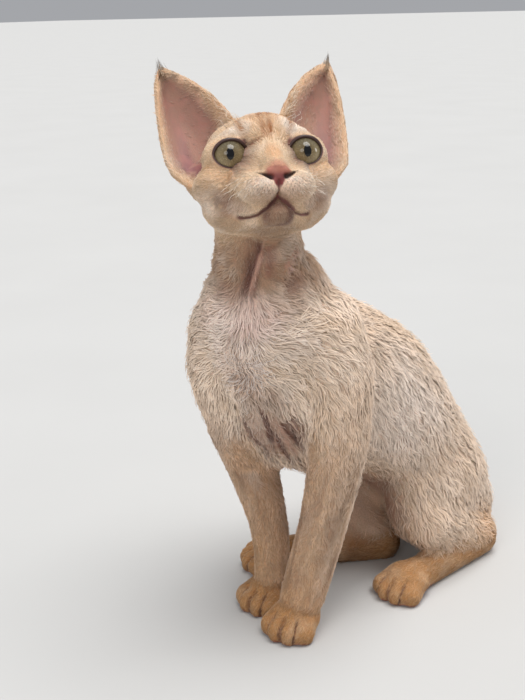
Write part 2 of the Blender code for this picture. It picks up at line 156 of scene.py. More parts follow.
class Places:
    """Turns metres of the model into millimetres of the head and of the body, and back."""

    def __init__(self) -> None:
        """Reads where the eyes are in the solids."""
        centres = [sum((Vector(corner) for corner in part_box("eye_" + side)), Vector()) / 2
                   for side in SIDES]
        turn = Matrix.Rotation(math.radians(HEAD_TURN), 3, "Z")
        lift = Matrix.Rotation(math.radians(-HEAD_LIFT), 3, "X")
        roll = Matrix.Rotation(math.radians(HEAD_ROLL), 3, "Y")
        self.head_axes = np.array(turn @ lift @ roll)
        middle = np.array((centres[0] + centres[1]) / 2)
        self.head_start = middle - self.head_axes @ np.array((0.0, EYE_DEPTH, 0.0)) * MM
        self.body_start = self.head_start - np.array(HEAD_START) * MM

    def to_head(self, points: np.ndarray) -> np.ndarray:
        """Metres to millimetres in the head's own axes."""
        return (points - self.head_start) @ self.head_axes / MM

    def from_head(self, points: np.ndarray) -> np.ndarray:
        """Millimetres in the head's own axes to metres."""
        return np.asarray(points, float) @ self.head_axes.T * MM + self.head_start

    def to_body(self, points: np.ndarray) -> np.ndarray:
        """Metres to the millimetres that the body's places are given in."""
        return (points - self.body_start) / MM

    def from_body(self, points: np.ndarray) -> np.ndarray:
        """The body's millimetres to metres."""
        return np.asarray(points, float) * MM + self.body_start


PLACES = Places()


class Tint:
    """The colours of skin and coat, and of the shade and highlight painted on them."""

    CREAM = srgb(222, 190, 156)
    PALE = srgb(238, 222, 206)
    TAN = srgb(206, 172, 138)
    FAWN = srgb(246, 220, 196)
    PEACH = srgb(216, 168, 126)
    ORANGE = srgb(176, 130, 84)
    EARTH = srgb(128, 94, 74)
    RUST = srgb(160, 108, 70)
    ASH = srgb(250, 230, 214)
    PINK = srgb(250, 216, 202)
    MUSK = srgb(174, 140, 114)
    HONEY = srgb(206, 166, 132)
    OAT = srgb(200, 168, 142)
    SHELL = srgb(198, 158, 140)
    DUSK = srgb(150, 104, 90)
    MAUVE = srgb(144, 102, 102)
    UMBER = srgb(160, 120, 102)
    WINE = srgb(112, 60, 60)
    DEEP = srgb(98, 62, 54)
    BRICK = srgb(124, 58, 58)
    CORAL = srgb(176, 114, 94)
    MAROON = srgb(84, 44, 40)
    BARK = srgb(60, 33, 27)
    CLAY = srgb(160, 130, 114)
    NOSTRIL_SHADE = srgb(46, 26, 24)
    PAD = srgb(150, 84, 74)


class Lie(Enum):
    """The way the coat runs on a stretch of the body."""

    FACE = "from the nose back over the head"
    ALONG = "along the stretch"


@dataclass(frozen=True)
class Fleece:
    """How the coat grows on one kind of stretch, in millimetres.

    The skin lies depth under the solids. Each tuft has its length and width, swings to its sides by
    wave and lifts its tip over the skin. share is the number of tufts on a square millimetre, and
    ground is the plain colour under the markings.
    """

    coat: str
    ground: tuple[float, float, float]
    depth: float
    length: float
    width: float
    share: float
    wave: float
    lift: float
    lie: Lie = Lie.ALONG

    def row(self) -> np.ndarray:
        """The values that pass smoothly from one stretch to the next."""
        return np.array((self.length, self.width, self.share, self.wave, self.lift, *self.ground))


@dataclass(frozen=True)
class Stretch:
    """One stretch of the body: its coat, and the path it runs along in the body's millimetres."""

    fleece: Fleece
    path: tuple[tuple[float, float, float], ...] = ()


HEAD_DOWN = Fleece("head", Tint.CREAM, 0.6, 3.0, 0.36, 2.1, 0.10, 0.22, Lie.FACE)
NOSE_DOWN = Fleece("head", Tint.CREAM, 0.0, 1.0, 0.3, 0.0, 0.0, 0.1, Lie.FACE)
EAR_DOWN = Fleece("ears", Tint.HONEY, 0.0, 2.8, 0.36, 1.7, 0.1, 0.25)
# The neck's ground is partly its own colour and partly painted shade under the head.
NECK_FLEECE = Fleece("chest", Tint.MUSK, 1.3, 5.0, 0.46, 1.4, 0.3, 0.6)
TRUNK_FLEECE = Fleece("trunk", Tint.FAWN, 2.0, 9.5, 0.58, 0.54, 0.68, 1.2)
ARM_FLEECE = Fleece("forelegs", Tint.FAWN, 1.6, 8.0, 0.56, 0.68, 0.5, 1.1)
FOREARM_DOWN = Fleece("forelegs", Tint.HONEY, 0.9, 2.9, 0.42, 1.6, 0.12, 0.35)
THIGH_FLEECE = Fleece("hind_legs", Tint.OAT, 1.9, 9.0, 0.58, 0.58, 0.7, 1.2)
FOOT_DOWN = Fleece("hind_legs", Tint.ORANGE, 0.8, 3.6, 0.44, 1.2, 0.12, 0.35)
PAW_DOWN = Fleece("paws", Tint.ORANGE, 0.4, 2.2, 0.38, 1.5, 0.05, 0.26)
TAIL_ROOT_FLEECE = Fleece("tail", Tint.PEACH, 1.2, 5.4, 0.55, 0.8, 0.35, 0.6)
TAIL_FLEECE = Fleece("tail", Tint.PEACH, 1.1, 5.0, 0.55, 0.8, 0.3, 0.5)
TAIL_TIP_FLEECE = Fleece("tail", Tint.PEACH, 1.0, 4.6, 0.5, 0.9, 0.25, 0.45)
SPINE = ((-12, -70, 205), (-7, -68, 158), (-4, -50, 130), (0, -4, 105), (12, 40, 80), (34, 95, 20))
STRETCHES = {
    "head": Stretch(HEAD_DOWN),
    "nose_leather": Stretch(NOSE_DOWN),
    "ear_left": Stretch(EAR_DOWN, ((30, -30, 262), (8, -20, 300))),
    "ear_right": Stretch(EAR_DOWN, ((-20, -78, 262), (-56, -67, 300))),
    "neck": Stretch(NECK_FLEECE, ((-9, -58, 234), (-10, -55, 180))),
    "trunk": Stretch(TRUNK_FLEECE, SPINE),
    "left_upper_arm": Stretch(ARM_FLEECE, ((22, -42, 172), (31, -46, 110))),
    "right_upper_arm": Stretch(ARM_FLEECE, ((-32, -60, 168), (-33, -52, 108))),
    "left_forearm": Stretch(FOREARM_DOWN, ((31, -47, 117), (24, -50, 66), (14, -58, 16))),
    "right_forearm": Stretch(FOREARM_DOWN, ((-32, -52, 110), (-20, -44, 66), (-13, -47, 16))),
    "left_forepaw": Stretch(PAW_DOWN, ((14, -55, 20), (13, -66, 14), (12.5, -78, 4))),
    "right_forepaw": Stretch(PAW_DOWN, ((-13, -44, 20), (-16, -52, 14), (-18, -64, 4))),
    "left_thigh": Stretch(THIGH_FLEECE, ((30, 55, 95), (48, 30, 45), (56, 40, 15))),
    "right_thigh": Stretch(THIGH_FLEECE, ((-8, 55, 95), (-16, 25, 45), (-8, 20, 15))),
    "left_hind_foot": Stretch(FOOT_DOWN, ((61, 78, 12), (53, 38, 10), (45, 5, 8))),
    "right_hind_foot": Stretch(FOOT_DOWN, ((18, 40, 12), (-14, 12, 10), (-40, -12, 8))),
    "left_hind_paw": Stretch(PAW_DOWN, ((46, 12, 18), (44.5, 0, 14), (42, -14, 4))),
    "right_hind_paw": Stretch(PAW_DOWN, ((-33, -4, 18), (-41, -12, 14), (-51, -20, 4))),
    "tail_root": Stretch(TAIL_ROOT_FLEECE, ((40, 92, 30), (40, 117, 12), (20, 137, 7))),
    "tail_middle": Stretch(TAIL_FLEECE, ((20, 137, 7), (-12, 136, 6), (-35, 116, 6), (-44, 90, 5))),
    "tail_tip": Stretch(TAIL_TIP_FLEECE, ((-44, 90, 5), (-43, 64, 5), (-37, 40, 4))),
}


@dataclass(frozen=True)
class Eyelids:
    """One eye: where it sits, the opening of its lids and its gaze.

    side is 1 for the left eye and -1 for the right. The opening is in millimetres of arc on the
    eyeball's front. Its angles run from outwards on the face up through the brow, and each corner
    has its angle, its spread and how far it draws the opening out. gaze is in degrees, inwards and
    down.
    """

    side: int
    centre: tuple[float, float, float]
    middle: tuple[float, float]
    half: tuple[float, float]
    gaze: tuple[float, float]
    corners: tuple[tuple[float, float, float], ...] = ((203.0, 12.0, 1.7), (5.0, 16.0, 0.2))
    thickness: float = 1.0

    def reach(self, angle: np.ndarray) -> np.ndarray:
        """How far the opening reaches from its middle, at angles in radians."""
        wide, high = self.half
        edge = wide * high / np.hypot(high * np.cos(angle), wide * np.sin(angle))
        for centre, spread, extra in self.corners:
            off = (np.degrees(angle) - centre + 180.0) % 360.0 - 180.0
            edge = edge + extra * bell(off, spread)
        return edge

    @staticmethod
    def deep(angle: np.ndarray) -> np.ndarray:
        """How far from the eyeball's middle the lids shape the face, at angles in radians."""
        return 19.0 + 3.0 * bell(np.degrees(angle) % 360.0 - 258.0, 45.0)

    def directions(self, angle: np.ndarray, reach: np.ndarray) -> np.ndarray:
        """Directions from the eyeball's middle through places on its front.

        Args:
            angle: Angles in radians round the opening's middle.
            reach: Distances from the opening's middle.

        Returns:
            Unit vectors in the head's axes.
        """
        out = self.middle[0] + reach * np.cos(angle)
        up = self.middle[1] + reach * np.sin(angle)
        arc = np.maximum(np.hypot(out, up), 1e-6)
        scale = np.sin(arc / EYE_RADIUS) / arc
        return np.stack((self.side * out * scale, -np.cos(arc / EYE_RADIUS), up * scale), axis=-1)

    def flat(self, direction: np.ndarray) -> tuple[np.ndarray, np.ndarray]:
        """The angle and reach of directions from the eyeball's middle."""
        scale = EYE_RADIUS * np.arccos(np.clip(-direction[:, 1], -1.0, 1.0))
        scale = scale / np.maximum(np.hypot(direction[:, 0], direction[:, 2]), 1e-6)
        out = self.side * direction[:, 0] * scale - self.middle[0]
        up = direction[:, 2] * scale - self.middle[1]
        return np.arctan2(up, out), np.hypot(out, up)

    def look(self, head: np.ndarray) -> tuple[np.ndarray, np.ndarray, np.ndarray, np.ndarray]:
        """Where places lie about the eye.

        Args:
            head: Places in the head's millimetres.

        Returns:
            Their distances and directions from the eyeball's middle, their angles round the
            opening, and how far outside the lids' edge they lie.
        """
        ray = head - np.array(self.centre)
        distance = np.linalg.norm(ray, axis=1)
        direction = ray / distance[:, None]
        angle, reach = self.flat(direction)
        return distance, direction, angle, reach - self.reach(angle)

    def widened(self, distance: np.ndarray) -> np.ndarray:
        """How much longer a step across the skin is than the same step on the lids."""
        return np.clip(distance / (EYE_RADIUS + self.thickness), 1.0, 1.6)


LIDS = {
    "left": Eyelids(1, (18.0, 6.0, -0.1), (-0.6, -0.25), (8.4, 6.9), (2.0, 8.0)),
    "right": Eyelids(-1, (-17.5, 6.0, 0.3), (-0.9, -0.75), (9.5, 6.9), (-5.0, 9.0)),
}


@dataclass
class Relief:
    """Points of a skin with their normals, along which they are raised and sunk."""

    points: np.ndarray
    normals: np.ndarray

    def raise_by(self, height: np.ndarray) -> None:
        """Moves each point outwards by its height."""
        self.points = self.points + self.normals * height[:, None]


class Sculptor(Relief):
    """Works the features of the face and the ears into a fine skin, in the head's millimetres."""

    SUNK = 1.6
    TAPER = 0.3
    MOUTH = (
        (0, -24.2), (2.6, -26.6), (5.2, -28.9), (8.5, -30.4), (12.0, -30.3), (15.5, -29.4), (18.0, -28.2))
    PHILTRUM = ((0, -18.8), (0, -24.4))
    NOSTRIL = ((3.5, -17.1), (4.9, -16.5), (6.7, -15.5), (8.3, -14.5))
    CANTHUS = ((11.9, -2.6, 0.4), (10.7, -5.2, -3.2), (9.8, -6.8, -6.2))
    EAR_RIDGES = (
        (((41.0, 19.0, -3.0), (42.5, 20.5, 3.0), (41.5, 23.0, 8.5)), 0.9, -1.4),
        (((31.0, 28.0, -2.0), (33.0, 33.0, 12.0), (36.0, 35.0, 28.0)), 2.2, 0.9),
        (((24.0, 27.0, 6.0), (26.5, 33.0, 18.0), (31.0, 35.0, 32.0)), 2.2, -0.8),
        (((18.0, 24.0, 16.0), (23.0, 30.0, 28.0), (31.0, 33.0, 42.0)), 1.8, 0.6),
    )

    def ridge(self, path: np.ndarray, width: float, height: float) -> None:
        """Raises a ridge, or with a height under 0 presses a groove, that runs out at its ends.

        Args:
            path: The corners it follows.
            width: How wide it is.
            height: How high it is.
        """
        distance, along = near_path(self.points, path, self.normals)
        ends = step(0.0, self.TAPER, along) * step(0.0, self.TAPER, 1.0 - along)
        self.raise_by(height * bell(distance, width) * ends)

    def swell(self, centre: tuple, half: tuple, height: float) -> None:
        """Raises, or with a height under 0 sinks, an oval of the skin along its normals."""
        self.raise_by(height * (1.0 - step(0.0, 1.0, oval(self.points, centre, half))))

    def set_lids(self) -> None:
        """Draws the lids over the eyeballs and sinks the skin inside their opening."""
        for lids in LIDS.values():
            distance, direction, angle, beyond = lids.look(self.points)
            deep = lids.deep(angle)
            near = (distance < deep) & (direction[:, 1] < 0.25)
            snap = near & (np.abs(beyond) < 0.22)
            edge = lids.reach(angle[snap]) + np.where(beyond[snap] > 0, 0.02, -0.02)
            direction[snap] = lids.directions(angle[snap], edge)
            outside = near & (beyond >= 0)
            inside = near & (beyond < 0)
            away, turned, past = distance[outside], angle[outside], beyond[outside]
            below = bell(np.degrees(turned) % 360.0 - 232.0, 42.0)
            hug = (1.0 - step(0.0, 1.0, past / (5.5 + 4.0 * below))) * step(0.0, -6.0, away - deep[outside])
            fold = bell(past - 2.7, 0.6) * step(0.1, 0.6, np.sin(turned))
            distance[outside] = away * (1 - hug) + (EYE_RADIUS + lids.thickness) * hug - 0.55 * fold
            distance[inside] = EYE_RADIUS - self.SUNK
            moved = outside | inside
            self.points[moved] = np.array(lids.centre) + direction[moved] * distance[moved, None]

    @staticmethod
    def seen(path: tuple, head: np.ndarray, back: float) -> tuple[np.ndarray, np.ndarray]:
        """Distance from a line of the face and its mirror image as they are seen from the front.

        Args:
            path: The line's corners, outwards and up.
            head: Places in the head's millimetres.
            back: How far back from the eyes' plane the line still counts.

        Returns:
            Each place's distance, and how far along the line it is.
        """
        flat = np.stack((np.abs(head[:, 0]), head[:, 2]), axis=1)
        distance, along = near_path(flat, np.array(path, float))
        return np.where(head[:, 1] < back, distance, 99.0), along

    def cut_mouth(self) -> None:
        """Parts the lips and draws the groove below the nose."""
        distance, along = self.seen(self.MOUTH, self.points, 12.0)
        across, heights = np.array(self.MOUTH, float).T
        above = self.points[:, 2] - np.interp(np.abs(self.points[:, 0]), across, heights)
        under = step(0.2, -1.2, above) * (1.0 - step(1.5, 5.0, distance))
        cut = 0.9 * under + 1.9 * bell(distance, 0.75)
        split, _ = self.seen(self.PHILTRUM, self.points, 0.0)
        self.raise_by(-(cut * step(1.0, 0.8, along) + 0.9 * bell(split, 0.55)))

    def cut_nostrils(self) -> None:
        """Opens the nostrils and rounds their wings."""
        distance, along = self.seen(self.NOSTRIL, self.points, -7.0)
        self.raise_by(-1.7 * bell(distance, 1.3 - 0.85 * along, 4))
        for side in SIDES.values():
            self.swell((side * 5.0, -17.8, -14.0), (3.2, 3.6, 1.8), 0.6)
            self.swell((side * 5.6, -16.0, -18.6), (3.4, 3.6, 1.5), 0.5)

    def shape_face(self) -> None:
        """Whisker pads, inner corners of the eyes, brows, cheeks, chin and bridge."""
        for side in SIDES.values():
            reach = oval(self.points, (side * 7.2, -12.0, -22.4), (8.8, 9.5, 6.0))
            self.raise_by(1.6 * np.clip(1.0 - reach ** 4, 0.0, 1.0) ** 2)
            self.swell((side * 11.0, -4.0, -5.0), (6.5, 9.0, 7.5), -2.6)
            self.swell((side * 10.0, 2.0, 13.5), (7.0, 8.0, 3.2), 0.5)
            self.swell((side * 24.0, 6.0, -12.0), (8.0, 9.0, 6.0), 0.6)
        self.swell((0, -10.0, -33.0), (7.0, 7.0, 4.5), 0.8)
        self.swell((0, -3.0, 2.0), (2.2, 8.0, 9.0), -0.35)

    def shape_ears(self) -> None:
        """The pocket at each ear's outer edge and the ridges that run up inside it."""
        for side in SIDES.values():
            self.swell((side * 43.0, 21.0, 3.5), (4.2, 4.2, 5.5), 1.6)
            for path, width, height in self.EAR_RIDGES:
                self.ridge(mirrored(path, side), width, height)


def relaxed(values: np.ndarray, edges: np.ndarray, rounds: int, keep_size: bool = True,
            weight: np.ndarray | None = None) -> np.ndarray:
    """Values evened out with their neighbours'.

    Args:
        values: Places or other values, one row for each of the mesh's points.
        edges: The pairs of points that are joined.
        rounds: How often each point moves towards its neighbours.
        keep_size: Whether each round swings back, so that the form doesn't shrink.
        weight: How much each point moves, from 0 to 1.

    Returns:
        The evened values.
    """
    count = np.bincount(edges.ravel(), minlength=len(values)).clip(1)
    values = values.copy()
    for _ in range(rounds):
        for factor in ((0.5, -0.515) if keep_size else (0.5,)):
            mean = np.empty_like(values)
            for k in range(values.shape[1]):
                column = values[:, k]
                mean[:, k] = (np.bincount(edges[:, 0], column[edges[:, 1]], len(values))
                              + np.bincount(edges[:, 1], column[edges[:, 0]], len(values))) / count
            shift = (mean - values) * factor
            values += shift if weight is None else shift * weight[:, None]
    return values


def mesh_arrays(mesh: bpy.types.Mesh) -> tuple[np.ndarray, np.ndarray, np.ndarray]:
    """A mesh's points, edges and point normals as arrays."""
    points = np.empty(len(mesh.vertices) * 3)
    mesh.vertices.foreach_get("co", points)
    edges = np.empty(len(mesh.edges) * 2, dtype=np.int32)
    mesh.edges.foreach_get("vertices", edges)
    normals = np.empty(len(mesh.vertices) * 3)
    mesh.vertex_normals.foreach_get("vector", normals)
    return points.reshape(-1, 3), edges.reshape(-1, 2), normals.reshape(-1, 3)


def set_points(mesh: bpy.types.Mesh, points: np.ndarray) -> None:
    """Moves a mesh's points."""
    mesh.vertices.foreach_set("co", np.ascontiguousarray(points, dtype=np.float32).ravel())
    mesh.update()


def solid_mesh(name: str, points: np.ndarray, loops: np.ndarray, sizes: np.ndarray) -> bpy.types.Mesh:
    """A mesh straight from arrays.

    Args:
        name: What it is called.
        points: Places, one a row.
        loops: The faces' corners, one after another.
        sizes: How many corners each face has.

    Returns:
        The mesh, shaded smooth.
    """
    mesh = bpy.data.meshes.new(name)
    mesh.vertices.add(len(points))
    mesh.vertices.foreach_set("co", np.ascontiguousarray(points, dtype=np.float32).ravel())
    mesh.loops.add(len(loops))
    mesh.loops.foreach_set("vertex_index", loops.astype(np.int32))
    mesh.polygons.add(len(sizes))
    mesh.polygons.foreach_set("loop_start", (np.cumsum(sizes) - sizes).astype(np.int32))
    mesh.update(calc_edges=True)
    mesh.shade_smooth()
    return mesh


def new_object(name: str, mesh: bpy.types.Mesh) -> bpy.types.Object:
    """A new object of this mesh in the scene."""
    obj = bpy.data.objects.new(name, mesh)
    bpy.context.scene.collection.objects.link(obj)
    return obj


def applied(obj: bpy.types.Object) -> bpy.types.Mesh:
    """The mesh that an object's modifiers make. The modifiers and its old mesh are taken away."""
    bpy.context.view_layer.update()
    mesh = bpy.data.meshes.new_from_object(obj.evaluated_get(bpy.context.evaluated_depsgraph_get()))
    obj.modifiers.clear()
    obj.data = mesh
    return mesh


def write_attribute(mesh: bpy.types.Mesh, name: str, values: np.ndarray) -> None:
    """Gives each point of a mesh a value, or a colour if the values have three columns."""
    if values.ndim == 1:
        mesh.attributes.new(name, "FLOAT", "POINT").data.foreach_set("value", values.astype(np.float32))
        return
    full = np.ones((len(values), 4), dtype=np.float32)
    full[:, :3] = values
    mesh.attributes.new(name, "FLOAT_COLOR", "POINT").data.foreach_set("color", full.ravel())


@dataclass(frozen=True)
class Spot:
    """A place on the coat where the colour turns to another one, or where shade is painted on.

    centre and half are in the millimetres of the head or of the body.
    """

    centre: tuple[float, float, float]
    half: tuple[float, float, float]
    colour: tuple[float, float, float]
    strength: float
    mirrored: bool = False


@dataclass(frozen=True)
class Streak:
    """A line of another colour along a path in the head's millimetres, on both sides of the face."""

    path: tuple[tuple[float, float, float], ...]
    width: float
    colour: tuple[float, float, float]
    strength: float


class Body(Relief):
    """Works folds and toes into the skin of the body.

    Points and normals are in metres, and the lines and places in the body's millimetres.
    """

    RIDGES = (
        (((11.5, -78, 221), (4.6, -75, 209.4), (2.5, -76.5, 201.8), (0.2, -79, 190), (-1.5, -80, 180)),
         1.5, 2.6),
        (((12.2, -53, 215), (12.6, -61.5, 206.2), (12.7, -65.5, 200.7), (12, -69, 195)), 1.5, 2.0),
        (((-17, -69, 116), (-13.5, -66, 108), (-9, -62, 98), (-7, -54, 92)), 1.6, 1.0),
        (((9, -70, 124), (10.5, -66, 114), (10.5, -61, 106), (9, -55, 98)), 2.2, 1.0),
        (((16.5, -66, 124), (16.5, -62, 116)), 1.6, 0.8),
    )
    HOLLOWS = (
        ((-0.5, -78, 209), (6, 9, 17), -2.6),
        ((8.0, -70, 206), (4.5, 7, 12), -1.8),
        ((14.5, -63, 197), (5, 8, 9), -1.6),
        ((-14.0, -60, 100), (7, 9, 16), -1.4),
    )
    FOLDS = (
        (((-14.4, -73, 128), (-13.4, -72.4, 123.7), (-12, -68.2, 113.2), (-7.4, -64, 104.4), (-7, -54, 92)),
         1.5, 2.2),
        (((0.5, -74, 131), (2, -72.8, 124), (3, -69.5, 116), (0.5, -63, 103.4)), 1.7, 1.5),
        (((4.3, -69.4, 116.2), (5.2, -64.1, 107.8), (5, -52, 93.6)), 1.4, 1.8),
        (((11, -69, 124), (12.2, -67.2, 120.5), (14.8, -62.9, 114), (15.4, -55.3, 103.7)), 1.7, 2.2),
        (((14.7, -68.7, 129), (18.5, -64.3, 119.4), (19.5, -59.6, 111.4)), 1.5, 1.4),
    )
    PAWS = (
        ((11.6, -61.4, 8.2), 4.0),
        ((-15.5, -46.5, 8.2), -8.0),
        ((44.5, 5.0, 8.0), -10.0),
        ((-38.5, -10.5, 8.0), -48.0),
    )
    TOES = (-10.0, -3.6, 3.6, 10.0)
    CLEFTS = (
        ((0.0, -3.0, 8.5), (0.0, -11.0, 5.0), (0.0, -17.5, -1.0), (0.0, -18.5, -8.0)),
        ((5.4, -2.0, 7.5), (6.9, -9.0, 4.0), (7.4, -15.0, -2.0), (7.5, -15.5, -8.0)),
        ((-5.4, -2.0, 7.5), (-6.9, -9.0, 4.0), (-7.4, -15.0, -2.0), (-7.5, -15.5, -8.0)),
    )

    @classmethod
    def clefts(cls) -> list[np.ndarray]:
        """The lines between the toes of every paw."""
        lines = []
        for centre, turn in cls.PAWS:
            spin = np.array(Matrix.Rotation(math.radians(turn), 3, "Z"))
            lines += [np.array(line) @ spin.T + np.array(centre) for line in cls.CLEFTS]
        return lines

    def crease(self, path: tuple, width: float, height: float) -> None:
        """Raises, or with a height under 0 sinks, the skin near a line."""
        distance, along = near_path(PLACES.to_body(self.points), np.array(path, float), self.normals)
        ends = step(0.0, 0.25, along) * step(0.0, 0.25, 1.0 - along)
        self.raise_by(height * MM * bell(distance, width) * ends)

    def fold(self) -> None:
        """Throat cords, the loose skin of the chest, and the toes."""
        for centre, half, height in self.HOLLOWS:
            reach = oval(PLACES.to_body(self.points), centre, half)
            self.raise_by(height * MM * (1.0 - step(0.0, 1.0, reach)))
        for path, width, height in self.RIDGES:
            self.crease(path, width, height)
        for path, width, depth in self.FOLDS:
            self.crease(path, width, -depth)
        for centre, turn in self.PAWS:
            spin = np.array(Matrix.Rotation(math.radians(turn), 3, "Z"))
            place = (PLACES.to_body(self.points) - np.array(centre)) @ spin
            for across in self.TOES:
                reach = oval(place, (across, -13.0 + 0.25 * abs(across), 0.0), (3.6, 6.0, 6.0))
                self.raise_by(0.9 * MM * np.clip(1.0 - reach ** 2, 0.0, 1.0))
        for line in self.clefts():
            distance, along = near_path(PLACES.to_body(self.points), line, self.normals)
            self.raise_by(-1.7 * MM * bell(distance, 0.8) * step(0.15, 0.5, along))


@dataclass(frozen=True)
class MarkingsAndShade:
    """Where skin and coat change colour, and where shade and highlight are painted on them."""

    head_spots: tuple[Spot, ...] = (
        Spot((0, 8, 14), (20, 18, 14), Tint.PEACH, 0.45),
        Spot((11, 1, 12), (5.5, 6, 5), Tint.PALE, 0.85, True),
        Spot((8.6, -5, -1), (3.4, 5, 6.5), Tint.PALE, 0.8, True),
        Spot((19, 0, 11), (7, 7, 3.2), Tint.PALE, 0.6, True),
        Spot((0, -10, -5), (4.5, 9, 7), Tint.PEACH, 0.8),
        Spot((16, -4, -11), (9, 8, 4.2), Tint.PEACH, 0.95, True),
        Spot((17, -3, -12), (8, 8, 3.6), Tint.ORANGE, 0.3, True),
        Spot((26, 8, -9), (8, 10, 7), Tint.PEACH, 0.6, True),
        Spot((8, -14, -21.5), (9.5, 8, 6), Tint.ASH, 0.55, True),
        Spot((7, -14, -25), (8.5, 8, 4), Tint.UMBER, 0.35, True),
        Spot((0, -16, -12.6), (6.0, 8, 4.0), Tint.CORAL, 0.7),
        Spot((6, -15, -19), (4.0, 6, 2.0), Tint.PALE, 0.7, True),
        Spot((0, -8, -33), (9, 10, 7), Tint.UMBER, 0.85),
        Spot((0, -12, -27.6), (4.0, 8, 3.0), Tint.DEEP, 0.6),
        # Painted shade on the cheeks.
        Spot((27, 10, -16), (9, 12, 9), Tint.EARTH, 0.5, True),
        # Painted shade under the sides of the jaw.
        Spot((22, 8, -30), (12, 14, 8), Tint.EARTH, 0.4, True),
        # Painted shade on the chin, under the muzzle.
        Spot((0, -8, -32), (10, 10, 7), Tint.EARTH, 0.7),
        # Painted shade under the chin.
        Spot((0, 6, -40), (24, 22, 9), Tint.EARTH, 0.75),
        Spot((20, 2, -24), (11, 10, 5), Tint.UMBER, 0.5, True),
        Spot((26, 10, -20), (10, 12, 8), Tint.FAWN, 0.7, True),
        # Painted shade on the lower cheeks.
        Spot((22.5, 1, -20), (6.5, 9, 5.5), Tint.EARTH, 0.6, True),
        # Painted shade on the chin.
        Spot((0, -9, -32.5), (8.5, 10, 6), Tint.DEEP, 0.75),
        # More painted shade on the lower cheeks.
        Spot((22.5, 1, -20), (6.0, 9, 5.0), Tint.DEEP, 0.25, True),
        Spot((10.6, -6.4, -7.4), (2.6, 4, 2.6), Tint.ORANGE, 0.8, True),
    )
    body_spots: tuple[Spot, ...] = (
        Spot((-2, -82, 180), (20, 18, 16), Tint.PINK, 0.8),
        Spot((-10, -92, 168), (27, 22, 24), Tint.ASH, 0.8),
        Spot((-10, -90, 150), (20, 18, 26), Tint.PINK, 0.35),
        Spot((38, 10, 118), (30, 46, 44), Tint.ASH, 0.8),
        Spot((30, -45, 140), (14, 30, 34), Tint.TAN, 0.35),
        # Painted shadow on the far hind foot.
        Spot((-8, 20, 12), (26, 34, 20), Tint.EARTH, 0.4),
        # Painted shade between the forelegs.
        Spot((1, -66, 113), (21, 20, 24), Tint.CLAY, 0.85),
        # Painted shade on the upper chest.
        Spot((16, -72, 186), (14, 12, 8), Tint.UMBER, 0.45),
        Spot((16, -75, 166), (22, 20, 9), Tint.ASH, 0.6),
        Spot((-24, -72, 178), (9, 14, 14), Tint.PINK, 0.5),
        # Painted shade over the breastbone, above the folds.
        Spot((2, -74, 138), (18, 12, 12), Tint.CLAY, 0.6),
        Spot((-3.2, -80, 147), (7, 10, 5), Tint.DUSK, 0.4),
        # The bare belly's own pinkish brown, with painted shade under the body in both spots.
        Spot((14, 0, 46), (34, 36, 32), Tint.EARTH, 0.8),
        Spot((14, 0, 46), (34, 36, 32), Tint.WINE, 0.25),
        Spot((10, 60, 140), (46, 60, 46), Tint.TAN, 0.8),
        Spot((40, 95, 90), (40, 40, 60), Tint.TAN, 0.5),
        Spot((56, 66, 22), (18, 30, 18), Tint.PEACH, 0.8),
    )
    streaks: tuple[Streak, ...] = (
        Streak(((0.9, -4, 3), (1.4, -3, 11), (1.6, 1, 18), (2, 8, 24), (4, 18, 29)), 1.5, Tint.RUST, 0.95),
        Streak(((5.2, -1, 13.5), (6.0, 3, 20), (7.5, 10, 25)), 1.1, Tint.RUST, 0.6),
        Streak(((10.5, -3, 6.6), (11.8, 1.2, 14.5), (13.6, 7, 20.5), (15, 14, 24)), 1.6, Tint.RUST, 0.95),
        Streak(((26.5, 4, -3), (31, 12, -8), (35, 20, -10)), 1.6, Tint.ORANGE, 0.55),
        Streak(((20, -1, -15.5), (28, 8, -18), (32, 18, -20)), 1.8, Tint.ORANGE, 0.4),
    )
    lines: tuple[tuple, ...] = (
        # Painted shade in the hollows beside and between the throat cords.
        (((6.7, -79, 220), (1.6, -76, 208.8), (-0.8, -77.3, 199), (-3.5, -79, 188)), 3.4, Tint.DEEP, 0.95),
        (((8.5, -72, 215), (7.0, -70, 207), (6.0, -72, 197)), 2.6, Tint.DUSK, 0.6),
        (((-12.5, -79, 198), (-11, -80, 187)), 7.0, Tint.UMBER, 0.6),
        # Pale along the first throat cord: partly the pink skin's own colour, partly painted highlight.
        (((10.6, -77.5, 219), (4.6, -74.5, 209.4), (2.5, -76, 201.8), (0.2, -78.5, 190)),
         1.3, Tint.SHELL, 0.85),
        # Painted shade in the hollow beside the second cord.
        (((15.8, -56, 204), (14.9, -64, 196.5), (12.3, -69.5, 190.5)), 4.0, Tint.DUSK, 0.45),
        # Pale along the second cord: partly the pink skin's own colour, partly painted highlight.
        (((12.4, -54, 214), (12.6, -61, 206.2), (12.7, -65, 200.7)), 1.4, Tint.SHELL, 0.85),
        (((-3.5, -80.6, 178), (-10.1, -81.4, 169.5)), 1.6, Tint.UMBER, 0.7),
        (((-0.5, -80, 184), (-3, -81, 172)), 4.5, Tint.PINK, 0.8),
        # Pale along the chest's ridges: partly the pink skin's own colour, partly painted highlight.
        *((path, 0.8 * width, Tint.SHELL, 0.4) for path, width, _ in Body.RIDGES[2:]),
        # Painted shade in the folds of the chest.
        *((path, 0.75 * width, Tint.DEEP, 0.9) for path, width, _ in Body.FOLDS),
    )

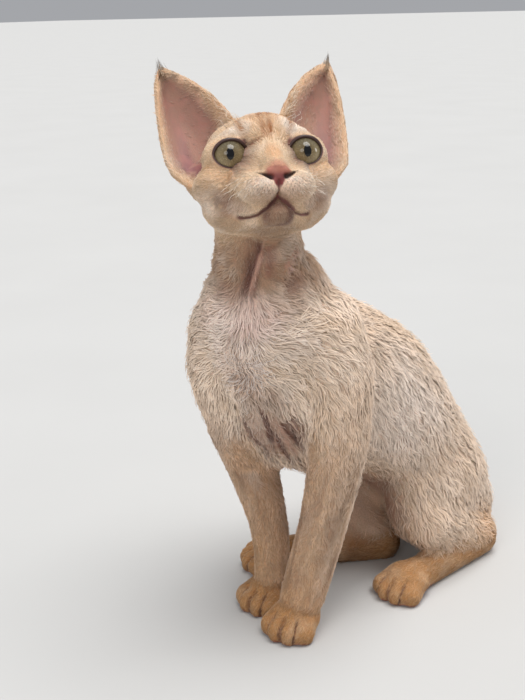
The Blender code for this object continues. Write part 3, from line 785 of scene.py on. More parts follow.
    def at(self, points: np.ndarray, normals: np.ndarray, ground: np.ndarray) -> np.ndarray:
        """The colour at each place, painted shade and highlight included.

        Args:
            points: Places in metres.
            normals: The skin's normals there.
            ground: The colour of each place's stretch of the body.

        Returns:
            One colour for each place.
        """
        head, body = PLACES.to_head(points), PLACES.to_body(points)
        colour = ground.copy()
        for places, spots in ((head, self.head_spots), (body, self.body_spots)):
            for spot in spots:
                for side in SIDES.values() if spot.mirrored else (1,):
                    reach = oval(places, mirrored(spot.centre, side), spot.half)
                    self.turn(colour, spot.colour, spot.strength * (1.0 - step(0.45, 1.15, reach)))
        self.stripe(colour, head)
        bands = 0.5 + 0.5 * np.sin(body[:, 2] / 0.62 + 5.0 * noise(body, 8.0, 4))
        low = step(128.0, 100.0, body[:, 2]) * step(14.0, 22.0, body[:, 2]) * step(-30.0, -38.0, body[:, 1])
        self.turn(colour, Tint.EARTH, 0.6 * bands ** 2 * low * step(0.2, 0.5, noise(body, 7.0, 8)))
        out, up = np.abs(head[:, 0]), head[:, 2]
        pads = np.exp(-(((out - 8.5) / 6.0) ** 4 + ((up + 21.5) / 4.6) ** 4)) * step(0.0, -5.0, head[:, 1])
        rows = np.sin(up * 2.0 * math.pi / 2.3) * np.sin((out + 0.25 * up) * 2.0 * math.pi / 2.0)
        self.turn(colour, Tint.DEEP, 0.75 * pads * step(0.3, 0.8, rows))
        mottle = noise(body, 7.0, 5)
        self.turn(colour, Tint.TAN, 0.35 * step(0.55, 0.85, mottle))
        self.turn(colour, Tint.PALE, 0.25 * step(0.45, 0.15, mottle) * step(26.0, 40.0, body[:, 2]))
        for path, width, tint, strength in self.lines:
            distance, along = near_path(body, np.array(path, float), normals)
            ends = step(0.0, 0.2, along) * step(0.0, 0.2, 1.0 - along)
            self.turn(colour, tint, strength * bell(distance, width) * ends)
        # Painted shade in the clefts between the toes.
        for line in Body.clefts():
            distance, along = near_path(body, line, normals)
            self.turn(colour, Tint.MAROON, 0.85 * bell(distance, 0.5) * step(0.2, 0.5, along))
        under = step(-0.25, -0.6, normals[:, 2]) * step(9.0, 7.0, body[:, 2])
        for centre, _ in Body.PAWS:
            near = 1.0 - step(17.0, 22.0, np.linalg.norm(body - np.array(centre), axis=1))
            self.turn(colour, Tint.PAD, 0.9 * under * near)
        self.paint_bare(colour, head, normals @ PLACES.head_axes)
        return colour

    @staticmethod
    def turn(colour: np.ndarray, other: tuple, share: np.ndarray) -> None:
        """Mixes another colour in."""
        share = np.clip(share, 0.0, 1.0)[:, None]
        colour += (np.array(other) - colour) * share

    def stripe(self, colour: np.ndarray, head: np.ndarray) -> None:
        """The broken streaks of the forehead and the cheeks."""
        on_head = 1.0 - step(30.0, 44.0, np.linalg.norm(head - np.array((0.0, 8.0, 0.0)), axis=1))
        broken = 0.6 + 0.8 * noise(head, 3.0, 2)
        strayed = head + 1.2 * (noise(head, 5.0, 3)[:, None] - 0.5)
        for streak in self.streaks:
            for side in SIDES.values():
                distance, _ = near_path(strayed, mirrored(streak.path, side))
                share = streak.strength * bell(distance, streak.width) * broken * on_head
                self.turn(colour, streak.colour, share)

    def paint_bare(self, colour: np.ndarray, head: np.ndarray, normals: np.ndarray) -> None:
        """Ear linings, nose leather, lips and the rims of the lids, with painted shade inside the nostrils
        and under the upper lids.
        """
        lining = ear_lining(head, normals)
        high = step(6.0, 34.0, head[:, 2] + 6.0 * noise(head, 8.0, 6))
        self.turn(colour, Tint.MAUVE, 0.95 * lining)
        self.turn(colour, Tint.UMBER, 0.8 * lining * high)
        deep = step(18.0, 2.0, head[:, 2]) * step(42.0, 28.0, np.abs(head[:, 0]))
        self.turn(colour, Tint.WINE, 0.75 * lining * deep)
        nose = nose_leather(head)
        self.turn(colour, Tint.BRICK, nose)
        self.turn(colour, Tint.CORAL, nose * step(-17.0, -14.0, head[:, 2]))
        # Painted shade inside the nostril openings.
        distance, along = Sculptor.seen(Sculptor.NOSTRIL, head, -7.0)
        self.turn(colour, Tint.NOSTRIL_SHADE, 0.98 * bell(distance, 1.4 - 0.85 * along, 4))
        distance, along = Sculptor.seen(Sculptor.MOUTH, head, 12.0)
        self.turn(colour, Tint.MAROON, 0.95 * bell(distance, 0.85, 4) * step(1.0, 0.85, along))
        distance, _ = Sculptor.seen(Sculptor.PHILTRUM, head, 0.0)
        self.turn(colour, Tint.WINE, 0.9 * bell(distance, 0.5))
        for lids in LIDS.values():
            distance, direction, angle, beyond = lids.look(head)
            beyond = beyond * lids.widened(distance)
            inner = bell(np.degrees(angle) % 360 - 200, 17)
            # Widest on the upper lid, where the dark band is partly the lid's own rim and partly painted
            # shade under the lid.
            wide = 0.35 + 1.15 * step(-0.3, 0.8, np.sin(angle)) + 1.3 * inner
            near = step(12.4, 11.0, distance) * (direction[:, 1] < 0.2)
            self.turn(colour, Tint.MAROON, near * 0.92 * (1.0 - step(0.6 * wide, 1.25 * wide, beyond)))
            distance, along = near_path(head, mirrored(Sculptor.CANTHUS, lids.side), normals)
            self.turn(colour, Tint.BARK, 0.9 * bell(distance, 1.3 - 0.7 * along))


MARKINGS_AND_SHADE = MarkingsAndShade()

# Where the coat is thin, on the belly, the loose skin between the forelegs and the throat: middle and
# half sizes in the body's millimetres, and what stays of the number of tufts and of their length.
THIN = (
    ((6.0, 8.0, 46.0), (34.0, 50.0, 42.0), 0.06, 0.35),
    ((0.5, -67.0, 115.0), (20.5, 20.0, 26.0), 0.5, 0.3),
    ((3.0, -76.0, 210.0), (12.0, 18.0, 22.0), 0.25, 0.42),
)
# The ears' edges as seen from the front, in the head's millimetres, and how far in the coat reaches.
EAR_RIMS = (
    (((10.7, 22.5), (14.6, 30), (18.5, 36), (22.4, 42), (26.3, 48), (34.2, 54), (40, 58)), 6.5),
    (((40, 58), (45, 52), (46.3, 42), (46.6, 30), (46.3, 12), (42.6, 0)), 3.4),
    (((45.5, 12), (44.5, 3), (39, -4), (33, -12)), 6.0),
    (((10.7, 22.5), (17, 14), (22, 7)), 7.0),
)


def ear_lining(head: np.ndarray, normals: np.ndarray) -> np.ndarray:
    """How much of a place is the bare inside of an ear, from its place and normal on the head."""
    out, back, up = np.abs(head[:, 0]), head[:, 1], head[:, 2]
    near = step(-14.0, -8.0, up) * step(46.0, 42.0, back) * step(52.0, 48.0, out)
    beyond = near * step(13.0, 18.0, out + 0.35 * up) * step(16.0, 20.0, back + 0.12 * up)
    inside = beyond * step(-0.05, -0.35, normals[:, 1]) * step(20.0, 27.0, out + 0.55 * np.maximum(up, 0.0))
    frayed = 1.4 * (noise(head, 2.5, 21) - 0.5)
    inside = inside * step(24.5, 28.5, 0.976 * out + up + 1.6 * frayed)
    for path, width in EAR_RIMS:
        distance, _ = near_path(np.stack((out, up), axis=1), np.array(path, float))
        inside = inside * step(0.55 * width, 1.1 * width, distance + frayed)
    return inside


def nose_leather(head: np.ndarray) -> np.ndarray:
    """How much of a place is nose leather."""
    frayed = 0.2 * (noise(head, 1.2, 22) - 0.5)
    wide = np.interp(head[:, 2], (-21.5, -19.5, -17.6, -16.2, -14.2, -11.7), (1.0, 2.4, 3.4, 5.6, 5.6, 4.0))
    across = np.abs(head[:, 0]) / wide + frayed
    tall = (head[:, 2] + 17.0) / 4.6 + frayed
    front = step(-9.5, -12.0, head[:, 1])
    return (1.0 - step(0.8, 1.1, across)) * (1.0 - step(0.75, 1.1, np.abs(tall))) * front


@dataclass
class Skin:
    """The one skin over all the flesh, and what it knows at each of its points.

    Sizes are in millimetres: the voxel of the remesh, and the swell that joins the solids over their
    gaps. most is the number of triangles that are kept, facet_rounds how often the solids' facets
    are evened out, and face_box the fine part of the face in the head's millimetres.
    """

    voxel: float = 0.85
    swell: float = 0.3
    most: int = 190000
    facet_rounds: int = 46
    face_box: tuple[tuple[float, ...], ...] = ((-36.0, -24.0, -40.0), (36.0, 14.0, 24.0))

    def __post_init__(self) -> None:
        """Gathers the solids of flesh."""
        self.nodes = [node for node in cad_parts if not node.startswith("eye")]
        self.solids = self.gather()

    def gather(self) -> tuple[BVHTree, list[str]]:
        """The solids as one search tree, with the node of each face."""
        points, faces, owners = [], [], []
        for node in self.nodes:
            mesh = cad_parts[node].data
            start = len(points)
            points += [vertex.co.copy() for vertex in mesh.vertices]
            for polygon in mesh.polygons:
                faces.append([start + k for k in polygon.vertices])
                owners.append(node)
        return BVHTree.FromPolygons(points, faces), owners

    def build(self) -> bpy.types.Object:
        """Remeshes, smooths, thins and sculpts the skin."""
        bm = bmesh.new()
        for node in self.nodes:
            part = bmesh.new()
            part.from_mesh(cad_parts[node].data)
            bmesh.ops.remove_doubles(part, verts=part.verts, dist=1e-6)
            part.normal_update()
            for vertex in part.verts:
                vertex.co += vertex.normal * self.swell * MM
            mesh = bpy.data.meshes.new("part")
            part.to_mesh(mesh)
            part.free()
            bm.from_mesh(mesh)
            bpy.data.meshes.remove(mesh)
        for side in SIDES:
            low, high = (Vector(corner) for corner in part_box("eye_" + side))
            ball = Matrix.Translation((low + high) / 2)
            radius = (EYE_RADIUS + 0.9) * MM
            bmesh.ops.create_uvsphere(bm, u_segments=32, v_segments=20, radius=radius, matrix=ball)
        mesh = bpy.data.meshes.new("skin")
        bm.to_mesh(mesh)
        bm.free()
        obj = new_object("skin", mesh)
        remesh = obj.modifiers.new("Remesh", "REMESH")
        remesh.mode = "VOXEL"
        remesh.voxel_size = self.voxel * MM
        mesh = applied(obj)
        points, edges, _ = mesh_arrays(mesh)
        head = PLACES.to_head(points)
        away = np.linalg.norm(head - np.array((0, 20.0, 8.0)), axis=1)
        on_head = step(-44.0, -36.0, head[:, 2]) * step(60.0, 50.0, away)
        on_paw = step(26.0, 18.0, PLACES.to_body(points)[:, 2])
        points = relaxed(points, edges, 14)
        points = relaxed(points, edges, self.facet_rounds, weight=1.0 - 0.85 * np.maximum(on_head, on_paw))
        set_points(mesh, points)
        self.thin(mesh, edges)
        mesh = self.refine(obj)
        self.sculpt(mesh)
        self.reduce(obj)
        return obj

    def owners(self, points: np.ndarray) -> list[str]:
        """The node that each place lies nearest to."""
        tree, nodes = self.solids
        return [nodes[tree.find_nearest(point)[2]] for point in points.tolist()]

    def thin(self, mesh: bpy.types.Mesh, edges: np.ndarray) -> None:
        """Draws the skin in by the coat's depth."""
        points, _, normals = mesh_arrays(mesh)
        depths = np.array([[STRETCHES[node].fleece.depth] for node in self.owners(points)])
        depth = relaxed(depths, edges, 20, False)[:, 0]
        head = PLACES.to_head(points)
        front = step(14.0, -6.0, head[:, 1]) * step(-42.0, -34.0, head[:, 2])
        front = front * step(50.0, 40.0, np.abs(head[:, 0]))
        depth = depth * (1.0 - 0.7 * front) * step(0.0, 4.0 * MM, points[:, 2])
        normals = unit(relaxed(normals, edges, 4, False))
        points = points - normals * (depth * MM)[:, None]
        points[:, 2] = np.maximum(points[:, 2], 0.0)
        set_points(mesh, points)

    def refine(self, obj: bpy.types.Object) -> bpy.types.Mesh:
        """Splits the faces of the face, and again those of lids, nose and mouth."""
        for level in range(2):
            mesh = obj.data
            inside = self.fine_places(PLACES.to_head(mesh_arrays(mesh)[0]), level)
            bm = bmesh.new()
            bm.from_mesh(mesh)
            bm.verts.ensure_lookup_table()
            edges = {edge for k in np.flatnonzero(inside) for edge in bm.verts[k].link_edges}
            bmesh.ops.subdivide_edges(bm, edges=list(edges), cuts=1, use_grid_fill=True)
            bm.to_mesh(mesh)
            bm.free()
            points, pairs, _ = mesh_arrays(mesh)
            head = PLACES.to_head(points)
            margin = np.min(np.minimum(head - self.face_box[0], self.face_box[1] - head), axis=1)
            set_points(mesh, relaxed(points, pairs, 4, weight=step(0.0, 3.0, margin)))
        return obj.data

    def fine_places(self, head: np.ndarray, level: int) -> np.ndarray:
        """Which points are on the face, or on the second level by a lid, the nose or the mouth."""
        low, high = np.array(self.face_box)
        inside = np.all((head > low) & (head < high), axis=1)
        if level == 0:
            return inside
        nose = np.array((0, -16, -16.6))
        close = nose_leather((head - nose) * 0.85 + nose) > 0.01
        close |= Sculptor.seen(Sculptor.MOUTH, head, 12.0)[0] < 2.0
        close |= Sculptor.seen(Sculptor.PHILTRUM, head, 0.0)[0] < 1.2
        for lids in LIDS.values():
            distance, direction, angle, beyond = lids.look(head)
            below = bell(np.degrees(angle) % 360.0 - 225.0, 40.0)
            close |= (distance < 23.0) & (np.abs(beyond) < 1.6 + 1.8 * below) & (direction[:, 1] < 0)
        return inside & close

    def sculpt(self, mesh: bpy.types.Mesh) -> None:
        """Works the features in."""
        points, _, normals = mesh_arrays(mesh)
        head = PLACES.to_head(points)
        near = np.linalg.norm(head - np.array((0, 10.0, 5.0)), axis=1) < 75.0
        sculptor = Sculptor(head[near], normals[near] @ PLACES.head_axes)
        sculptor.shape_face()
        sculptor.cut_mouth()
        sculptor.cut_nostrils()
        sculptor.shape_ears()
        sculptor.set_lids()
        points[near] = PLACES.from_head(sculptor.points)
        body = Body(points, normals)
        body.fold()
        set_points(mesh, body.points)

    def reduce(self, obj: bpy.types.Object) -> None:
        """Takes triangles from where the skin is plain."""
        points, _, _ = mesh_arrays(obj.data)
        body = PLACES.to_body(points)
        fine = self.fine_places(PLACES.to_head(points), 0)
        breast = (body[:, 1] < -40.0) & (np.abs(body[:, 0]) < 26.0) & (body[:, 2] > 84.0)
        worked = ~fine & ((body[:, 2] < 22.0) | breast)
        group = obj.vertex_groups.new(name="plain")
        for chosen, share in ((~fine, 1.0), (fine, 0.32), (worked, 0.6)):
            group.add(np.flatnonzero(chosen).tolist(), share, "REPLACE")
        triangles = sum(len(polygon.vertices) - 2 for polygon in obj.data.polygons)
        modifier = obj.modifiers.new("Thin out", "DECIMATE")
        modifier.ratio = min(1.0, self.most / triangles)
        modifier.vertex_group = "plain"
        modifier.vertex_group_factor = 1.0
        modifier.use_collapse_triangulate = True
        applied(obj)
        obj.vertex_groups.clear()
        obj.data.shade_smooth()

    def learn(self, mesh: bpy.types.Mesh) -> None:
        """Notes for each point of the finished skin how the coat grows there, and its colour."""
        self.points, self.edges, self.normals = mesh_arrays(mesh)
        names = self.owners(self.points)
        rows = {name: stretch.fleece.row() for name, stretch in STRETCHES.items()}
        values = relaxed(np.array([rows[name] for name in names]), self.edges, 14, False)
        self.length, self.width, self.share, self.wave, self.lift = values[:, :5].T
        self.coats = np.array([STRETCHES[name].fleece.coat for name in names])
        self.head = PLACES.to_head(self.points)
        ground = relaxed(values[:, 5:], self.edges, 40, False)
        self.colour = MARKINGS_AND_SHADE.at(self.points, self.normals, ground)
        self.lie = self.comb(np.array(names))
        self.trim()
        triangles = np.empty(len(mesh.loops), dtype=np.int32)
        mesh.loops.foreach_get("vertex_index", triangles)
        self.triangles = triangles.reshape(-1, 3)
        write_attribute(mesh, "MarkingsAndShade", self.colour)
        write_attribute(mesh, "Bare", self.bare)
        write_attribute(mesh, "Leather", nose_leather(self.head))

    def comb(self, names: np.ndarray) -> np.ndarray:
        """The way the coat lies at each point, along the skin."""
        body = PLACES.to_body(self.points)
        way = np.zeros_like(self.points)
        for name, stretch in STRETCHES.items():
            here = names == name
            if not here.any():
                continue
            if stretch.fleece.lie is Lie.FACE:
                out = self.head[here] - np.array((0.0, -17.0, -12.0))
                way[here] = unit(out) @ PLACES.head_axes.T
                continue
            path = np.array(stretch.path, float)
            spans = unit(path[1:] - path[:-1])
            _, along = near_path(body[here], path)
            place = np.clip(along * len(spans) - 0.5, 0, len(spans) - 1)
            low = place.astype(int)
            high = np.minimum(low + 1, len(spans) - 1)
            way[here] = unit(spans[low] + (spans[high] - spans[low]) * (place - low)[:, None])
        breast = step(-44.0, -58.0, body[:, 1]) * step(136.0, 150.0, body[:, 2]) * (self.coats != "head")
        side = np.clip((body[:, 0] + 3.0 + 7.0 * (noise(body, 9.0, 23) - 0.5)) / 9.0, -1.0, 1.0)
        down = np.interp(body[:, 2], (140.0, 152.0, 168.0, 182.0, 200.0), (-1.0, -0.6, -0.15, -0.1, -0.5))
        down = down - 0.7 * (1.0 - np.abs(side))
        spread = unit(np.stack((side, np.full_like(side, 0.2), down), axis=1))
        way = unit(way + (spread - way) * breast[:, None])
        away = body - np.array(WHORL)
        swirl = bell(np.linalg.norm(away, axis=1), 7.0)[:, None]
        way = unit(way + (unit(np.cross(away, self.normals)) - way) * swirl)
        for _ in range(3):
            way = relaxed(way, self.edges, 10, False)
            way = unit(way - self.normals * np.sum(way * self.normals, axis=1)[:, None])
        return way

    def trim(self) -> None:
        """Shortens the coat on the muzzle and by the eyes, and leaves bare what has none."""
        head_normals = self.normals @ PLACES.head_axes
        lining = ear_lining(self.head, head_normals)
        bare = np.maximum(lining, nose_leather(self.head))
        for lids in LIDS.values():
            distance, _, angle, beyond = lids.look(self.head)
            beyond = beyond * lids.widened(distance)
            lid = (distance < 14.0) & (self.head[:, 1] < lids.centre[1] + 1.0)
            # Bare widest on the upper lid, to show the painted shade there.
            naked = 0.35 + 0.95 * step(-0.3, 0.8, np.sin(angle))
            rim = step(12.4, 11.0, distance) * lid * (1.0 - step(0.6 * naked, 1.5 * naked, beyond))
            near, _ = near_path(self.head, mirrored(Sculptor.CANTHUS, lids.side), head_normals)
            bare = np.maximum(np.maximum(bare, rim), 1.0 - step(0.5, 1.3, near))
            self.length *= np.where(lid, 0.35 + 0.65 * step(0.5, 7.0, beyond), 1.0)
        near, _ = Sculptor.seen(Sculptor.MOUTH, self.head, 14.0)
        bare = np.maximum(bare, 1.0 - step(0.6, 1.2, near))
        self.length *= 0.4 + 0.6 * step(1.0, 7.0, near)
        muzzle = np.linalg.norm(self.head - np.array((0.0, -16.0, -16.0)), axis=1)
        self.length *= 0.4 + 0.6 * step(5.0, 24.0, muzzle)
        self.width *= 0.7 + 0.3 * step(5.0, 24.0, muzzle)
        self.share *= 1.5 - 0.5 * step(14.0, 30.0, muzzle)
        self.share *= np.where(self.head[:, 1] > 22.0, 0.72, 1.0) ** (self.coats == "head")
        body = PLACES.to_body(self.points)
        whorl = bell(np.linalg.norm(body - np.array((*WHORL[:2], WHORL[2] + 0.6)), axis=1), 13.0)
        self.wave *= 1.0 + 0.9 * whorl
        self.length *= 1.0 + 0.25 * whorl
        for centre, half, share, length in THIN:
            here = 1.0 - step(0.6, 1.1, oval(body, centre, half))
            self.share *= 1.0 - (1.0 - share) * here
            self.length *= 1.0 - (1.0 - length) * here
        self.bare = np.clip(bare, 0.0, 1.0)
        self.share = self.share * (1.0 - step(0.1, 0.7, self.bare))
        self.share[self.points[:, 2] < 0.25 * MM] = 0.0


class Graph:
    """A material's nodes, wired with short calls."""

    def __init__(self, name: str) -> None:
        """Starts a material with its Principled shader."""
        self.material = bpy.data.materials.new(name)
        self.material.use_nodes = True
        self.nodes = self.material.node_tree.nodes
        self.links = self.material.node_tree.links
        self.shader = self.nodes["Principled BSDF"]

    def add(self, kind: str, props: dict | None = None, **inputs: object) -> bpy.types.Node:
        """Adds a node.

        Args:
            kind: The node's type, without the word ShaderNode.
            props: Settings of the node.
            inputs: What goes into its sockets, as a value or as another node's socket.

        Returns:
            The node.
        """
        node = self.nodes.new("ShaderNode" + kind)
        for key, value in (props or {}).items():
            setattr(node, key, value)
        for key, value in inputs.items():
            self.put(node.inputs[int(key[1:]) if key[0] == "_" else key.replace("_", " ")], value)
        return node

    def put(self, socket: bpy.types.NodeSocket, value: object) -> None:
        """Sets a socket, or links another one into it."""
        if isinstance(value, bpy.types.NodeSocket):
            self.links.new(value, socket)
        else:
            socket.default_value = value

    def finish(self, **inputs: object) -> bpy.types.Material:
        """Sets or links the shader's sockets and gives the material."""
        for key, value in inputs.items():
            self.put(self.shader.inputs[key.replace("_", " ")], value)
        return self.material

    def attribute(self, name: str) -> bpy.types.Node:
        """Reads an attribute of the mesh."""
        return self.add("Attribute", {"attribute_name": name})

    def mix(self, share: object, first: object, second: object, blend: str = "MIX") -> bpy.types.NodeSocket:
        """Mixes two colours."""
        node = self.add("Mix", {"data_type": "RGBA", "blend_type": blend})
        self.put(node.inputs["Factor"], share)
        for socket, value in zip((node.inputs[6], node.inputs[7]), (first, second)):
            self.put(socket, (*value, 1.0) if isinstance(value, tuple) else value)
        return node.outputs[2]

    def maths(self, operation: str, first: object, second: object = 0.0) -> bpy.types.NodeSocket:
        """Works one number out of two."""
        return self.add("Math", {"operation": operation}, _0=first, _1=second).outputs[0]

    def ranged(self, value: object, low: float, high: float, start: float = 0.0, end: float = 1.0
               ) -> bpy.types.NodeSocket:
        """Maps a number from one range to another, smoothly."""
        node = self.add("MapRange", {"interpolation_type": "SMOOTHSTEP"}, Value=value)
        for key, number in zip(("From Min", "From Max", "To Min", "To Max"), (low, high, start, end)):
            node.inputs[key].default_value = number
        return node.outputs[0]

    def noise(self, scale: float, detail: float = 2.0, vector: object = None) -> bpy.types.NodeSocket:
        """A noise value, on Object coordinates unless it is given others."""
        place = vector or self.add("TexCoord").outputs["Object"]
        return self.add("TexNoise", None, Vector=place, Scale=scale, Detail=detail).outputs["Fac"]

    def bump(self, height: object, depth: float, strength: object = 1.0) -> bpy.types.NodeSocket:
        """A bump of this depth in metres."""
        return self.add("Bump", None, Height=height, Distance=depth, Strength=strength).outputs["Normal"]


@dataclass(frozen=True)
class SkinFinish:
    """Warm skin with a down of short hair, wet leather on the nose and bare ear linings."""

    down_scale: float = 1500.0
    down_depth: float = 0.00025
    pore_scale: float = 2600.0
    blood: tuple[float, float, float] = (0.90, 0.74, 0.66)

    def material(self) -> bpy.types.Material:
        """Builds the finish."""
        graph = Graph("skin")
        markings_and_shade = graph.attribute("MarkingsAndShade").outputs["Color"]
        bare = graph.attribute("Bare").outputs["Fac"]
        leather = graph.attribute("Leather").outputs["Fac"]
        down = graph.noise(self.down_scale, 3.0)
        shade = graph.ranged(down, 0.3, 0.7, 0.80, 1.06)
        tone = graph.add("HueSaturation", None, Color=markings_and_shade, Value=shade).outputs["Color"]
        flesh = graph.mix(0.3, tone, self.blood, "MULTIPLY")
        veins = graph.ranged(graph.noise(160.0, 4.0), 0.42, 0.62)
        lining = graph.mix(graph.maths("MULTIPLY", veins, 0.22), markings_and_shade, (0.50, 0.20, 0.17))
        colour = graph.mix(bare, flesh, lining)
        pores = graph.add("TexVoronoi", None, Scale=self.pore_scale).outputs["Distance"]
        height = graph.maths("ADD", down, graph.maths("MULTIPLY", pores, leather))
        normal = graph.bump(height, self.down_depth, graph.ranged(bare, 0.0, 1.0, 0.9, 0.35))
        rough = graph.maths("SUBTRACT", graph.ranged(bare, 0.0, 1.0, 0.85, 0.62),
                            graph.maths("MULTIPLY", leather, 0.22))
        graph.shader.inputs["Subsurface Radius"].default_value = (1.0, 0.35, 0.2)
        return graph.finish(Base_Color=colour, Roughness=rough, Normal=normal, Subsurface_Weight=0.15,
                            Subsurface_Scale=0.002, Specular_IOR_Level=0.35)


@dataclass(frozen=True)
class CoatFinish:
    """Soft hair, darker at the root and paler at the tip, each tuft a little different."""

    name: str = "coat"
    root: float = 0.95
    tip: float = 1.16
    spread: float = 0.15
    sheen: float = 0.15

    def material(self) -> bpy.types.Material:
        """Builds the finish."""
        graph = Graph(self.name)
        along = graph.attribute("Strand").outputs["Fac"]
        chance = graph.attribute("Chance").outputs["Fac"]
        markings_and_shade = graph.attribute("MarkingsAndShade").outputs["Color"]
        shade = graph.maths("MULTIPLY", graph.ranged(along, 0.0, 1.0, self.root, self.tip),
                            graph.ranged(chance, 0.0, 1.0, 1.0 - self.spread, 1.0 + self.spread))
        tone = graph.add("HueSaturation", None, Color=markings_and_shade, Value=shade,
                         Saturation=graph.ranged(along, 0.2, 1.0, 1.08, 0.90))
        fine = graph.noise(2400.0, 1.0)
        glint = graph.ranged(fine, 0.35, 0.75, 0.0, 0.12)
        colour = graph.mix(glint, tone.outputs["Color"], (0.95, 0.86, 0.76))
        graph.shader.inputs["Subsurface Radius"].default_value = (1.0, 0.75, 0.6)
        return graph.finish(Base_Color=colour, Roughness=0.72, Specular_IOR_Level=0.25,
                            Subsurface_Weight=0.12, Subsurface_Scale=0.0012, Sheen_Weight=self.sheen,
                            Sheen_Roughness=0.4)


@dataclass(frozen=True)
class StrandFinish:
    """One kind of single hair or lid rim, mottled along its length."""

    name: str
    root: tuple[float, float, float]
    tip: tuple[float, float, float]
    roughness: float = 0.45
    coat: float = 0.0

    def material(self) -> bpy.types.Material:
        """Builds the finish."""
        graph = Graph(self.name)
        along = graph.attribute("Strand").outputs["Fac"]
        colour = graph.mix(graph.ranged(along, 0.1, 0.8), self.root, self.tip)
        mottle = graph.ranged(graph.noise(900.0, 2.0), 0.3, 0.7, 0.85, 1.12)
        tone = graph.add("HueSaturation", None, Color=colour, Value=mottle).outputs["Color"]
        return graph.finish(Base_Color=tone, Roughness=self.roughness, Coat_Weight=self.coat,
                            Coat_Roughness=0.08)


@dataclass(frozen=True)
class EyeFinish:
    """A green-hazel iris with fibres and painted shade from the upper lid over its top, a dark rim that is
    partly painted shade of the lids, an oval pupil and the eye's white, under a wet layer.

    The eyeball's own map gives each place's distance across and up from the pupil, a twentieth for a
    millimetre, with the pupil at a half. iris is the iris's radius and slit the pupil's half sizes.
    """

    iris: float = 8.1
    slit: tuple[float, float] = (1.75, 2.8)

    def material(self) -> bpy.types.Material:
        """Builds the finish."""
        graph = Graph("eye")
        place = graph.add("UVMap", {"uv_map": "Iris"}).outputs["UV"]
        centred = graph.add("Mapping", None, Vector=place, Location=(-10.0, -10.0, 0.0),
                            Scale=(20.0, 20.0, 1.0)).outputs["Vector"]
        parts = graph.add("SeparateXYZ", None, Vector=centred)
        across, up = parts.outputs["X"], parts.outputs["Y"]
        radius = graph.add("VectorMath", {"operation": "LENGTH"}, _0=centred).outputs["Value"]
        ray = graph.add("VectorMath", {"operation": "NORMALIZE"}, _0=centred).outputs["Vector"]
        ray = graph.add("Mapping", None, Vector=ray, Scale=(9.0, 9.0, 1.0)).outputs["Vector"]
        fibres = graph.ranged(graph.noise(2.2, 5.0, ray), 0.32, 0.68)
        inner = graph.mix(graph.ranged(radius, 1.2, 5.2), srgb(102, 84, 54), srgb(142, 124, 86))
        # Greyer towards the top: painted shade that the upper lid casts on the iris.
        above = graph.mix(graph.ranged(up, 0.5, 5.5, 0.0, 0.6), inner, srgb(120, 112, 92))
        outer = graph.mix(graph.ranged(radius, 5.2, self.iris - 0.6), above, srgb(92, 76, 48))
        fibred = graph.mix(graph.maths("MULTIPLY", fibres, 0.5), outer, srgb(84, 70, 44))
        flecks = graph.ranged(graph.noise(1.3, 3.0, centred), 0.52, 0.7, 0.0, 0.5)
        fibred = graph.mix(flecks, fibred, srgb(172, 154, 110))
        # Darker towards the top and lighter below: painted shade of the upper lid on the iris.
        fibred = graph.add("HueSaturation", None, Color=fibred, Saturation=0.92,
                           Value=graph.ranged(up, -4.0, 5.5, 1.18, 0.62)).outputs["Color"]
        # The dark ring at the iris's edge: partly the limbus, partly painted shade of the lid margins.
        limbus = graph.ranged(radius, self.iris - 1.0, self.iris)
        ringed = graph.mix(limbus, fibred, srgb(34, 24, 18))
        white = graph.ranged(radius, self.iris + 0.4, self.iris + 1.4)
        whole = graph.mix(white, ringed, srgb(120, 88, 76))
        wide, high = self.slit
        beside = graph.maths("DIVIDE", graph.maths("ABSOLUTE", across), wide)
        aloft = graph.maths("DIVIDE", graph.maths("ABSOLUTE", up), high)
        pupil = graph.maths("ADD", graph.maths("POWER", beside, 1.8), graph.maths("POWER", aloft, 2.0))
        colour = graph.mix(graph.ranged(pupil, 1.08, 0.94), whole, (0.004, 0.004, 0.005))
        return graph.finish(Base_Color=colour, Roughness=0.5, Specular_IOR_Level=0.0, Coat_Weight=1.0,
                            Coat_Roughness=0.02, Coat_IOR=1.42)


